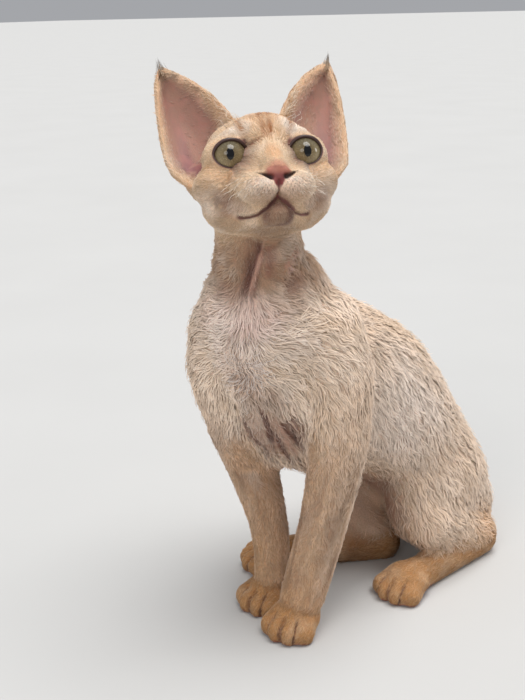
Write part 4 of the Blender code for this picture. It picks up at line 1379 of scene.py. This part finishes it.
@dataclass
class Eye:
    """One eyeball, left or right, with the swell of its cornea.

    cornea is how many degrees from the gaze it reaches, and how many millimetres it swells.
    """

    name: str
    finish: EyeFinish = EyeFinish()
    rings: int = 40
    sectors: int = 56
    cornea: tuple[float, float] = (52.0, 1.15)

    def build(self) -> bpy.types.Object:
        """Turns the eyeball's outline round its gaze."""
        lids = LIDS[self.name]
        edge, height = self.cornea
        tilt = np.linspace(0.0, math.pi, self.rings + 1)[1:-1]
        swell = np.where(np.degrees(tilt) < edge, (1.0 - (np.degrees(tilt) / edge) ** 2) ** 2, 0.0)
        radius = EYE_RADIUS - 0.05 + height * swell
        turn = np.arange(self.sectors) * 2.0 * math.pi / self.sectors
        ring = np.stack((np.cos(turn), np.zeros_like(turn), np.sin(turn)), axis=1)
        rows = [radius[k] * (math.sin(tilt[k]) * ring + np.array((0.0, -math.cos(tilt[k]), 0.0)))
                for k in range(len(tilt))]
        front = np.array((0.0, -(EYE_RADIUS - 0.05 + height), 0.0))
        points = np.vstack((front, *rows, np.array((0.0, EYE_RADIUS, 0.0))))
        loops, sizes = [], []
        for k in range(self.sectors):
            after = (k + 1) % self.sectors
            loops += [0, 1 + k, 1 + after]
            sizes.append(3)
            for row in range(len(rows) - 1):
                low, high = 1 + row * self.sectors, 1 + (row + 1) * self.sectors
                loops += [low + k, high + k, high + after, low + after]
                sizes.append(4)
            last = 1 + (len(rows) - 1) * self.sectors
            loops += [last + k, len(points) - 1, last + after]
            sizes.append(3)
        inwards, down = lids.gaze
        look = (Matrix.Rotation(math.radians(-lids.side * inwards), 3, "Z")
                @ Matrix.Rotation(math.radians(down), 3, "X"))
        placed = PLACES.from_head(points @ np.array(look).T + np.array(lids.centre))
        mesh = solid_mesh("eyeball_" + self.name, placed, np.array(loops), np.array(sizes))
        uv = mesh.uv_layers.new(name="Iris")
        reach = np.where(points[:, 1] > 0, 25.0, 1.0)[:, None] * points[:, [0, 2]]
        uv.data.foreach_set("uv", (0.5 + reach / 20.0)[np.array(loops)].astype(np.float32).ravel())
        mesh.materials.append(self.finish.material())
        obj = new_object("eyeball_" + self.name, mesh)
        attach(obj, "root")
        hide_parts("eye_" + self.name)
        return obj


@dataclass
class Strands:
    """Single hairs or lid rims: paths that a node tree sweeps a round section along."""

    name: str
    finish: StrandFinish
    slot: str = "head"
    sides: int = 4
    paths: list[tuple[np.ndarray, np.ndarray, bool]] = field(default_factory=list)

    def add(self, path: np.ndarray, thickness: np.ndarray, closed: bool = False) -> None:
        """Adds one path in metres with the radius at each of its points in millimetres."""
        self.paths.append((path, thickness, closed))

    def tree(self, material: bpy.types.Material) -> bpy.types.NodeTree:
        """The node tree: edges to curves, a round section swept along them, one finish."""
        tree = bpy.data.node_groups.new("Swept " + self.name, "GeometryNodeTree")
        tree.interface.new_socket("Geometry", in_out="INPUT", socket_type="NodeSocketGeometry")
        tree.interface.new_socket("Sides", in_out="INPUT", socket_type="NodeSocketInt")
        tree.interface.new_socket("Swell", in_out="INPUT", socket_type="NodeSocketFloat")
        tree.interface.new_socket("Geometry", in_out="OUTPUT", socket_type="NodeSocketGeometry")
        add, link = tree.nodes.new, tree.links.new
        given, result = add("NodeGroupInput"), add("NodeGroupOutput")
        curves = add("GeometryNodeMeshToCurve")
        radius = add("GeometryNodeSetCurveRadius")
        sweep = add("GeometryNodeCurveToMesh")
        section = add("GeometryNodeCurvePrimitiveCircle")
        named = add("GeometryNodeInputNamedAttribute")
        times = add("ShaderNodeMath")
        realize = add("GeometryNodeRealizeInstances")
        dress = add("GeometryNodeSetMaterial")
        named.inputs["Name"].default_value = "Thickness"
        times.operation = "MULTIPLY"
        section.inputs["Radius"].default_value = 1.0
        sweep.inputs["Fill Caps"].default_value = True
        dress.inputs["Material"].default_value = material
        link(given.outputs["Geometry"], curves.inputs["Mesh"])
        link(named.outputs["Attribute"], times.inputs[0])
        link(given.outputs["Swell"], times.inputs[1])
        link(curves.outputs["Curve"], radius.inputs["Curve"])
        link(times.outputs[0], radius.inputs["Radius"])
        link(radius.outputs["Curve"], sweep.inputs["Curve"])
        link(given.outputs["Sides"], section.inputs["Resolution"])
        link(section.outputs["Curve"], sweep.inputs["Profile Curve"])
        if "Scale" in sweep.inputs:
            link(times.outputs[0], sweep.inputs["Scale"])
        link(sweep.outputs["Mesh"], realize.inputs["Geometry"])
        link(realize.outputs["Geometry"], dress.inputs["Geometry"])
        link(dress.outputs["Geometry"], result.inputs["Geometry"])
        return tree

    def build(self) -> bpy.types.Object:
        """Sweeps every path and gives one plain mesh."""
        points, edges, thickness, along, chance = [], [], [], [], []
        rng = np.random.default_rng(SEED + len(self.paths))
        for path, radii, closed in self.paths:
            start = sum(len(part) for part in points)
            count = len(path)
            points.append(path)
            thickness.append(np.broadcast_to(radii, count))
            along.append(np.zeros(count) if closed else np.linspace(0.0, 1.0, count))
            chance.append(np.full(count, rng.random()))
            edges += [(start + k, start + k + 1) for k in range(count - 1)]
            edges += [(start + count - 1, start)] if closed else []
        mesh = bpy.data.meshes.new(self.name)
        mesh.from_pydata(np.vstack(points).tolist(), edges, [])
        write_attribute(mesh, "Thickness", np.concatenate(thickness) * MM)
        write_attribute(mesh, "Strand", np.concatenate(along))
        write_attribute(mesh, "Chance", np.concatenate(chance))
        obj = new_object(self.name, mesh)
        material = self.finish.material()
        modifier = obj.modifiers.new("Sweep", "NODES")
        modifier.node_group = self.tree(material)
        numbers = {"Sides": self.sides, "Swell": 1.0}
        for item in modifier.node_group.interface.items_tree:
            if item.in_out == "INPUT" and item.name in numbers:
                modifier[item.identifier] = numbers[item.name]
        made = applied(obj)
        if not made.materials:
            made.materials.append(material)
        made.shade_smooth()
        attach(obj, "root")
        return obj


@dataclass
class Coat:
    """The tufts that lie over the skin, which is obj.

    Tufts under the short length, in millimetres, have one ring less. curl is the length of a wave,
    most the number of triangles in a piece, and patch the size of a tuft's place on the map.
    """

    skin: Skin
    obj: bpy.types.Object
    finish: CoatFinish = CoatFinish()
    short: float = 4.6
    curl: float = 8.2
    most: int = 190000
    patch: float = 0.003

    def __post_init__(self) -> None:
        """Makes the finish, and gets the skin ready to be searched."""
        self.tree = BVHTree.FromPolygons(self.skin.points.tolist(), self.skin.triangles.tolist())
        self.material = self.finish.material()
        self.rng = np.random.default_rng(SEED)
        self.unwrap = self.unwrapped()

    def unwrapped(self) -> tuple[BVHTree, np.ndarray, np.ndarray]:
        """Unwraps a thinned copy of the skin: a search tree, its triangles and their map."""
        copy = new_object("unwrap", self.obj.data.copy())
        thin = copy.modifiers.new("Thin", "DECIMATE")
        thin.ratio = 6000 / max(len(copy.data.polygons), 6000)
        mesh = applied(copy)
        for name in [layer.name for layer in mesh.uv_layers]:
            mesh.uv_layers.remove(mesh.uv_layers[name])
        mesh.uv_layers.new(name="Unwrap")
        bpy.context.view_layer.objects.active = copy
        copy.select_set(True)
        bpy.ops.object.mode_set(mode="EDIT")
        bpy.ops.mesh.select_all(action="SELECT")
        bpy.ops.uv.smart_project(angle_limit=math.radians(60), island_margin=0.004)
        bpy.ops.object.mode_set(mode="OBJECT")
        points, _, _ = mesh_arrays(mesh)
        corners = np.empty(len(mesh.loops), dtype=np.int32)
        mesh.loops.foreach_get("vertex_index", corners)
        flat = np.empty(len(mesh.loops) * 2, dtype=np.float32)
        mesh.uv_layers["Unwrap"].data.foreach_get("uv", flat)
        corners = corners.reshape(-1, 3)
        tree = BVHTree.FromPolygons(points.tolist(), corners.tolist())
        result = (tree, points[corners], flat.reshape(-1, 3, 2))
        bpy.data.objects.remove(copy)
        return result

    def map_places(self, roots: np.ndarray) -> np.ndarray:
        """Each root's place on the unwrap of the skin."""
        tree, places, flat = self.unwrap
        found = [tree.find_nearest(root) for root in roots.tolist()]
        faces = np.array([hit[2] for hit in found])
        at = np.array([tuple(hit[0]) for hit in found])
        a, b, c = places[faces, 0], places[faces, 1], places[faces, 2]
        area = np.cross(b - a, c - a)
        whole = np.maximum(np.sum(area * area, axis=1), 1e-20)
        second = np.sum(np.cross(c - b, at - b) * area, axis=1) / whole
        third = np.sum(np.cross(a - c, at - c) * area, axis=1) / whole
        shares = np.stack((second, third, 1.0 - second - third), axis=1)
        return np.einsum("nk,nkd->nd", shares, flat[faces])

    def sow(self, name: str) -> dict[str, np.ndarray]:
        """Chooses the roots of one part of the coat.

        Args:
            name: The part of the coat.

        Returns:
            What the skin knows at each root.
        """
        skin = self.skin
        faces = skin.triangles[skin.coats[skin.triangles[:, 0]] == name]
        a, b, c = (skin.points[faces[:, k]] / MM for k in range(3))
        area = np.linalg.norm(np.cross(b - a, c - a), axis=1) / 2.0
        weight = area * skin.share[faces].mean(axis=1)
        count = int(weight.sum())
        chosen = np.sort(self.rng.choice(len(faces), size=count, p=weight / weight.sum()))
        first, second = self.rng.random(count), self.rng.random(count)
        over = first + second > 1.0
        first[over], second[over] = 1.0 - first[over], 1.0 - second[over]
        shares = np.stack((1.0 - first - second, first, second), axis=1)
        corners = faces[chosen]

        def mean(values: np.ndarray) -> np.ndarray:
            """The value at each root, from the corners of its face."""
            if values.ndim == 1:
                return np.sum(shares * values[corners], axis=1)
            return np.einsum("nk,nkd->nd", shares, values[corners])

        found = {"root": mean(skin.points), "normal": unit(mean(skin.normals)), "lie": mean(skin.lie),
                 "colour": mean(skin.colour)}
        place = found["root"] / MM
        place = place - 0.7 * found["lie"] * np.sum(place * found["lie"], axis=1)[:, None]
        clump = 0.6 * noise(place, 2.0, 14) + 0.4 * noise(found["root"] / MM, 5.0, 15)
        found["chance"] = 0.3 * self.rng.random(count) + 0.7 * step(0.25, 0.75, clump)
        for key in ("length", "width", "wave", "lift"):
            found[key] = mean(getattr(skin, key)) * (0.8 + 0.4 * self.rng.random(count))
        return found

    def grow(self, tufts: dict[str, np.ndarray], rings: int) -> tuple[np.ndarray, np.ndarray]:
        """Works out the points of the tufts.

        Args:
            tufts: What is known at each root.
            rings: How many rings of three points each tuft has below its tip.

        Returns:
            The points of all the tufts, tuft by tuft, and how far along each lies.
        """
        root, normal = tufts["root"], tufts["normal"]
        lie = unit(tufts["lie"] - normal * np.sum(tufts["lie"] * normal, axis=1)[:, None])
        across = np.cross(normal, lie)
        body = root / MM
        sway = (noise(body, 9.0, 11) - 0.5) * 0.9 + (self.rng.random(len(root)) - 0.5) * 0.35
        lie = unit(lie + across * sway[:, None])
        across = np.cross(normal, lie)
        length = tufts["length"] * MM
        gather = noise(body + 0.8 * across, 3.2, 12) - noise(body - 0.8 * across, 3.2, 12)
        tip = root + lie * length[:, None] + across * (gather * 1.6 * length)[:, None]
        middle = root + (tip - root) * 0.5
        lift = (tufts["lift"] * MM * (1.0 + 1.1 * (self.rng.random(len(root)) > 0.90)))[:, None]
        middle = self.over_skin(middle, normal, lift * 0.8, length)
        tip = self.over_skin(tip, normal, lift * (0.5 + 0.8 * tufts["chance"][:, None]), length)
        control = 2.0 * middle - 0.5 * (root + tip)
        down_back = body @ np.array((0.1, 0.5, -0.85)) + 9.0 * noise(body, 15.0, 13)
        phase = 2.0 * math.pi * (down_back / self.curl + 0.10 * tufts["chance"])
        profile = {2: (0.85, 0.9), 3: (0.75, 1.0, 0.8)}[rings]
        points, along = [], []
        for k in range(rings + 1):
            s = k / rings
            centre = (1 - s) ** 2 * root + 2 * s * (1 - s) * control + s * s * tip
            turn = 2.0 * math.pi * s * tufts["length"] / self.curl + phase
            swing = tufts["wave"] * MM * min(1.0, 1.6 * s)
            centre = centre + across * (swing * np.sin(turn))[:, None]
            centre = centre + normal * (0.45 * swing * np.cos(turn))[:, None]
            if k == rings:
                points.append(centre)
                along.append(1.0)
                continue
            if k == 0:
                centre = centre - normal * 0.25 * MM
            half = (0.5 * profile[k] * tufts["width"] * MM)[:, None]
            points += [centre + across * half, centre + normal * half * 0.8, centre - across * half]
            along += [s] * 3
        stacked = np.stack(points, axis=1)
        stacked[:, :, 2] = np.maximum(stacked[:, :, 2], 0.05 * MM)
        return stacked.reshape(-1, 3), np.tile(np.array(along), len(root))

    def over_skin(self, places: np.ndarray, normals: np.ndarray, lift: np.ndarray, length: np.ndarray
                  ) -> np.ndarray:
        """Moves places to stand over the skin nearest to them.

        Args:
            places: Places, one a row, in metres.
            normals: The skin's normals at the tufts' roots.
            lift: How high over the skin each place is to stand.
            length: The tufts' lengths, which tell when the nearest skin is another part's.

        Returns:
            The moved places.
        """
        found = [self.tree.find_nearest(place) for place in places.tolist()]
        at = np.array([tuple(hit[0]) for hit in found])
        way = np.array([tuple(hit[1]) for hit in found])
        astray = (np.linalg.norm(at - places, axis=1) > 0.6 * length) | (np.sum(way * normals, axis=1) < 0.0)
        return np.where(astray[:, None], places + normals * lift, at + way * lift)

    def piece(self, name: str, tufts: dict[str, np.ndarray], rings: int) -> bpy.types.Object:
        """Makes one mesh of tufts.

        Args:
            name: What it is called.
            tufts: What is known at each root.
            rings: How many rings each tuft has below its tip.

        Returns:
            The finished piece.
        """
        count = len(tufts["root"])
        points, along = self.grow(tufts, rings)
        size = 3 * rings + 1
        quads = [(3 * row + k, 3 * row + (k + 1) % 3, 3 * row + 3 + (k + 1) % 3, 3 * row + 3 + k)
                 for row in range(rings - 1) for k in range(3)]
        tips = [(3 * rings - 3 + k, 3 * rings - 3 + (k + 1) % 3, 3 * rings) for k in range(3)]
        pattern = [k for face in quads for k in face] + [k for face in tips for k in face] + [2, 1, 0]
        sizes = np.tile(np.array([4] * len(quads) + [3] * (len(tips) + 1)), count)
        loops = (np.arange(count)[:, None] * size + np.array(pattern)[None, :]).ravel()
        mesh = solid_mesh(name, points, loops, sizes)
        own = mesh_arrays(mesh)[2]
        under = np.repeat(tufts["normal"], size, axis=0)
        mesh.normals_split_custom_set_from_vertices(unit(own + 1.6 * under))
        write_attribute(mesh, "MarkingsAndShade", np.repeat(tufts["colour"], size, axis=0))
        write_attribute(mesh, "Strand", along)
        write_attribute(mesh, "Chance", np.repeat(tufts["chance"], size))
        flat = np.repeat(self.map_places(tufts["root"]), size, axis=0)
        steps = [(k % 3 - 1.0) * 0.4 for k in range(size - 1)] + [0.0]
        steps = np.tile(np.array(steps), count)
        flat = flat + self.patch * np.stack((steps, along - 0.5), axis=1)
        uv = mesh.uv_layers.new(name="OFBake")
        uv.data.foreach_set("uv", flat[loops].astype(np.float32).ravel())
        mesh.materials.append(self.material)
        obj = new_object(name, mesh)
        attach(obj, "root")
        return obj

    def build(self) -> list[bpy.types.Object]:
        """Grows every part of the coat, in pieces of a size that can be handed on."""
        made = []
        for name in sorted(set(stretch.fleece.coat for stretch in STRETCHES.values())):
            tufts = self.sow(name)
            for rings, chosen in ((2, tufts["length"] < self.short), (3, tufts["length"] >= self.short)):
                order = np.flatnonzero(chosen)
                if len(order) < 50:
                    continue
                order = order[np.argsort(-tufts["root"][order, 2], kind="stable")]
                triangles = len(order) * (6 * (rings - 1) + 4)
                for k, share in enumerate(np.array_split(order, math.ceil(triangles / self.most))):
                    part = {key: values[share] for key, values in tufts.items()}
                    label = f"coat_{name}_{'short' if rings == 2 else 'long'}_{k + 1}"
                    made.append(self.piece(label, part, rings))
                    log.info("%s: %d tufts", label, len(share))
        return made


@dataclass
class Face:
    """Lid rims, whiskers, the long hairs of brows and ears, and the curls on the chest.

    pad_rows are the heights of the rows of whiskers and the number in each.
    """

    skin: Skin
    pad_rows: tuple[tuple[float, int], ...] = ((-15.5, 6), (-18.3, 7), (-21.2, 7), (-24.0, 5))

    def __post_init__(self) -> None:
        """Gets the skin that the hairs stand on ready to be searched."""
        self.tree = BVHTree.FromPolygons(self.skin.head.tolist(), self.skin.triangles.tolist())
        self.rng = np.random.default_rng(SEED)

    def rims(self) -> bpy.types.Object:
        """The dark wet edges of the lids, thicker on the upper lid, where they also stand for the shade the
        lid casts.
        """
        rims = Strands("lid_rims", StrandFinish("lid_rim", Tint.BARK, Tint.BARK, 0.5, 0.12), "head", 8)
        angle = np.linspace(0.0, 2.0 * math.pi, 72, endpoint=False)
        for lids in LIDS.values():
            way = lids.directions(angle, lids.reach(angle) + 0.15)
            path = np.array(lids.centre) + way * (EYE_RADIUS + 0.42)
            rims.add(PLACES.from_head(path), 0.52 + 0.35 * step(-0.3, 0.8, np.sin(angle)), True)
        return rims.build()

    def surface(self, place: tuple[float, float, float]) -> tuple[np.ndarray, np.ndarray] | None:
        """Where the skin lies straight behind a place before the face, and its normal there."""
        hit, normal, _, _ = self.tree.ray_cast(Vector(place), Vector((0.0, 1.0, 0.0)))
        return None if hit is None else (np.array(hit), np.array(normal))

    def hair(self, start: np.ndarray, way: np.ndarray, drift: np.ndarray, length: float, curl: float,
             turns: float) -> np.ndarray:
        """One hair's path: it sets out one way, drifts to another and curls.

        Args:
            start: Its root, in the head's millimetres.
            way: The way it sets out.
            drift: The way it bends to.
            length: How long it is.
            curl: How far the curl swings.
            turns: How many curls it has.

        Returns:
            The path in metres.
        """
        s = np.linspace(0.0, 1.0, 14)[:, None]
        spread = way * s + (drift - way) * s * s * 0.5
        side = np.cross(way, drift)
        side = side / max(np.linalg.norm(side), 1e-6)
        phase = 2.0 * math.pi * (turns * s + self.rng.random())
        wave = curl * s * (side * np.sin(phase) + np.cross(side, way) * np.cos(phase))
        return PLACES.from_head(start + length * spread + wave - way * 0.4)

    def whiskers(self) -> bpy.types.Object:
        """Short curly whiskers on the pads and over the eyes."""
        finish = StrandFinish("whisker", srgb(176, 150, 124), srgb(246, 236, 222))
        whiskers = Strands("whiskers", finish)
        for side in SIDES.values():
            for height, count in self.pad_rows:
                for k in range(count):
                    out = (10.0 if height > -16.0 else 6.0) + 1.9 * k + self.rng.normal(0.0, 0.3)
                    up = height + self.rng.normal(0.0, 0.3)
                    met = self.surface((side * out, -40.0, up))
                    if met is None:
                        continue
                    start, normal = met
                    way = unit(normal + np.array((side * 0.5, -0.1, -0.5)))
                    back, down = 0.3 + 0.3 * self.rng.random(), -1.0 + 0.8 * self.rng.random()
                    drift = unit(np.array((side * 0.8, back, down)))
                    length = (2.4 + 0.7 * k) * (0.6 + 0.7 * self.rng.random())
                    turns = 0.6 + 0.5 * self.rng.random()
                    path = self.hair(start, way, drift, length, 0.07 * length, turns)
                    whiskers.add(path, np.linspace(0.15, 0.05, len(path)))
            for k in range(4):
                met = self.surface((side * (9.0 + 2.4 * k), -30.0, 13.0 + 0.8 * k))
                if met is None:
                    continue
                start, normal = met
                way = unit(normal + np.array((side * 0.3, 0.0, 0.6)))
                drift = unit(np.array((side * 0.6, 0.5, 0.6)))
                path = self.hair(start, way, drift, 6.0 + 3.0 * self.rng.random(), 0.8, 1.2)
                whiskers.add(path, np.linspace(0.11, 0.04, len(path)))
        return whiskers.build()

    def ear_hairs(self) -> bpy.types.Object:
        """Long pale hairs at the front of the ears."""
        hairs = Strands("ear_hairs", StrandFinish("ear_hair", srgb(206, 168, 126), srgb(240, 226, 206)))
        for side in SIDES.values():
            for k in range(46):
                s = self.rng.random()
                base = np.array((9.0 + 12.0 * s, 19.0 + 6.0 * s, 19.0 + 20.0 * s))
                base = base + self.rng.normal(0.0, 1.1, 3)
                met = self.surface((side * base[0], base[1] - 30.0, base[2]))
                if met is None or abs(met[0][1] - base[1]) > 9.0:
                    continue
                way = unit(np.array((side * (0.5 + 0.5 * self.rng.random()), -0.55, 0.75)))
                drift = unit(np.array((side * 1.0, -0.1, 0.3 + self.rng.random())))
                length = 4.0 + 6.5 * self.rng.random() * (1.0 - 0.6 * s)
                path = self.hair(met[0], way, drift, length, 0.12 * length, 0.7)
                hairs.add(path, np.linspace(0.13, 0.04, len(path)))
        return hairs.build()

    def curls(self) -> bpy.types.Object:
        """The loose pale curls round the whorl on the chest."""
        finish = StrandFinish("chest_curl", srgb(188, 166, 152), srgb(236, 222, 212), 0.6)
        curls = Strands("chest_curls", finish, "trunk")
        centre = PLACES.to_head(PLACES.from_body(np.array(WHORL)))
        for _ in range(110):
            hit, normal, _, _ = self.tree.find_nearest(Vector(centre + self.rng.normal(0.0, 5.5, 3)))
            start, normal = np.array(hit), np.array(normal)
            away = start - centre
            away = unit(away - normal * (away @ normal))
            way = unit(np.cross(normal, away) * 0.7 + away * 0.5 + normal * 0.45)
            drift = unit(away * 0.9 - np.cross(normal, away) * 0.5 + normal * 0.1)
            path = self.hair(start, way, drift, 7.0 + 5.0 * self.rng.random(), 1.7, 1.0)
            curls.add(path, np.linspace(0.34, 0.08, len(path)))
        return curls.build()

    def ear_tips(self) -> bpy.types.Object:
        """The dark wisp on the tip of each ear."""
        wisps = Strands("ear_tips", StrandFinish("ear_tip", srgb(178, 150, 122), srgb(120, 112, 104)))
        for side in SIDES.values():
            for _ in range(44):
                spread = self.rng.normal(0.0, 1.0, 3)
                base = np.array((side * 41.4, 32.8, 53.2)) + spread * np.array((1.2, 0.4, 0.8))
                way = unit(np.array((side * 0.25 - 0.16 * spread[0], -0.1 * spread[1], 1.0)))
                drift = unit(way + np.array((side * 0.1, 0.0, 0.5)))
                path = self.hair(base, way, drift, 4.5 + 3.5 * self.rng.random(), 0.12, 0.4)
                wisps.add(path, np.linspace(0.14, 0.03, len(path)))
        return wisps.build()


@dataclass
class Studio:
    """The floor, the soft lights and the camera.

    The camera's angles are in degrees and its place in the body's millimetres. Each light has its
    name, the way to it across, up and towards the camera, its angle in degrees and its strength.
    """

    azimuth: float = 35.0
    pitch: float = 18.0
    roll: float = 1.5
    eye_point: tuple[float, float, float] = (285.5, -476.5, 322.0)
    focal_mm: float = 54.0
    lights: tuple[tuple, ...] = (
        ("Key", (0.17, 0.92, 0.36), 42.0, 2.9),
        ("Side", (0.95, 0.29, -0.10), 18.0, 0.50),
        ("Front", (-0.45, 0.25, 0.86), 30.0, 0.80),
    )

    def build(self) -> None:
        """Sets them all up."""
        self.floor()
        self.camera()
        for name, (across, up, near), size, strength in self.lights:
            data = bpy.data.lights.new(name, "SUN")
            data.angle, data.energy = math.radians(size), strength
            obj = bpy.data.objects.new(name, data)
            bpy.context.scene.collection.objects.link(obj)
            way = self.turn() @ Vector((across, up, near))
            obj.matrix_world = way.to_track_quat("Z", "Y").to_matrix().to_4x4()
        world = bpy.data.worlds.new("Studio")
        bpy.context.scene.world = world
        world.use_nodes = True
        background = world.node_tree.nodes["Background"]
        background.inputs["Color"].default_value = (0.93, 0.95, 1.0, 1.0)
        background.inputs["Strength"].default_value = 0.40
        bpy.context.scene.view_settings.view_transform = "Standard"

    def floor(self) -> None:
        """A plain pale floor."""
        half = 40.0
        corners = np.array([(-half, -half, 0), (half, -half, 0), (half, half, 0), (-half, half, 0)])
        mesh = solid_mesh("floor", corners, np.arange(4), np.array([4]))
        graph = Graph("floor")
        colour = graph.mix(graph.noise(6.0, 3.0), (0.52, 0.515, 0.50), (0.56, 0.555, 0.54))
        mesh.materials.append(graph.finish(Base_Color=colour, Roughness=0.85))
        new_object("floor", mesh)

    def turn(self) -> Matrix:
        """The camera's rotation without its roll."""
        return (Matrix.Rotation(math.radians(self.azimuth), 4, "Z")
                @ Matrix.Rotation(math.radians(90.0 - self.pitch), 4, "X"))

    def camera(self) -> None:
        """A camera where the photographer stood."""
        data = bpy.data.cameras.new("Camera")
        data.lens, data.sensor_width = self.focal_mm, 36.0
        obj = bpy.data.objects.new("Camera", data)
        bpy.context.scene.collection.objects.link(obj)
        roll = Matrix.Rotation(math.radians(-self.roll), 4, "Z")
        place = Matrix.Translation(Vector(PLACES.from_body(self.eye_point)))
        obj.matrix_world = place @ self.turn() @ roll
        bpy.context.scene.camera = obj


def main() -> None:
    """Builds the kitten piece by piece."""
    logging.basicConfig(level=logging.INFO, format="%(message)s")
    Studio().build()
    skin = Skin()
    obj = skin.build()
    skin.learn(obj.data)
    obj.data.materials.clear()
    obj.data.materials.append(SkinFinish().material())
    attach(obj, "root")
    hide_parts(*skin.nodes)
    log.info("skin: %d triangles", len(skin.triangles))
    for name in SIDES:
        log.info("%s", Eye(name).build().name)
    face = Face(skin)
    for made in (face.rims(), face.whiskers(), face.ear_hairs(), face.ear_tips(), face.curls()):
        log.info("%s: %d faces", made.name, len(made.data.polygons))
    Coat(skin, obj).build()


if __name__ == "__main__":
    main()
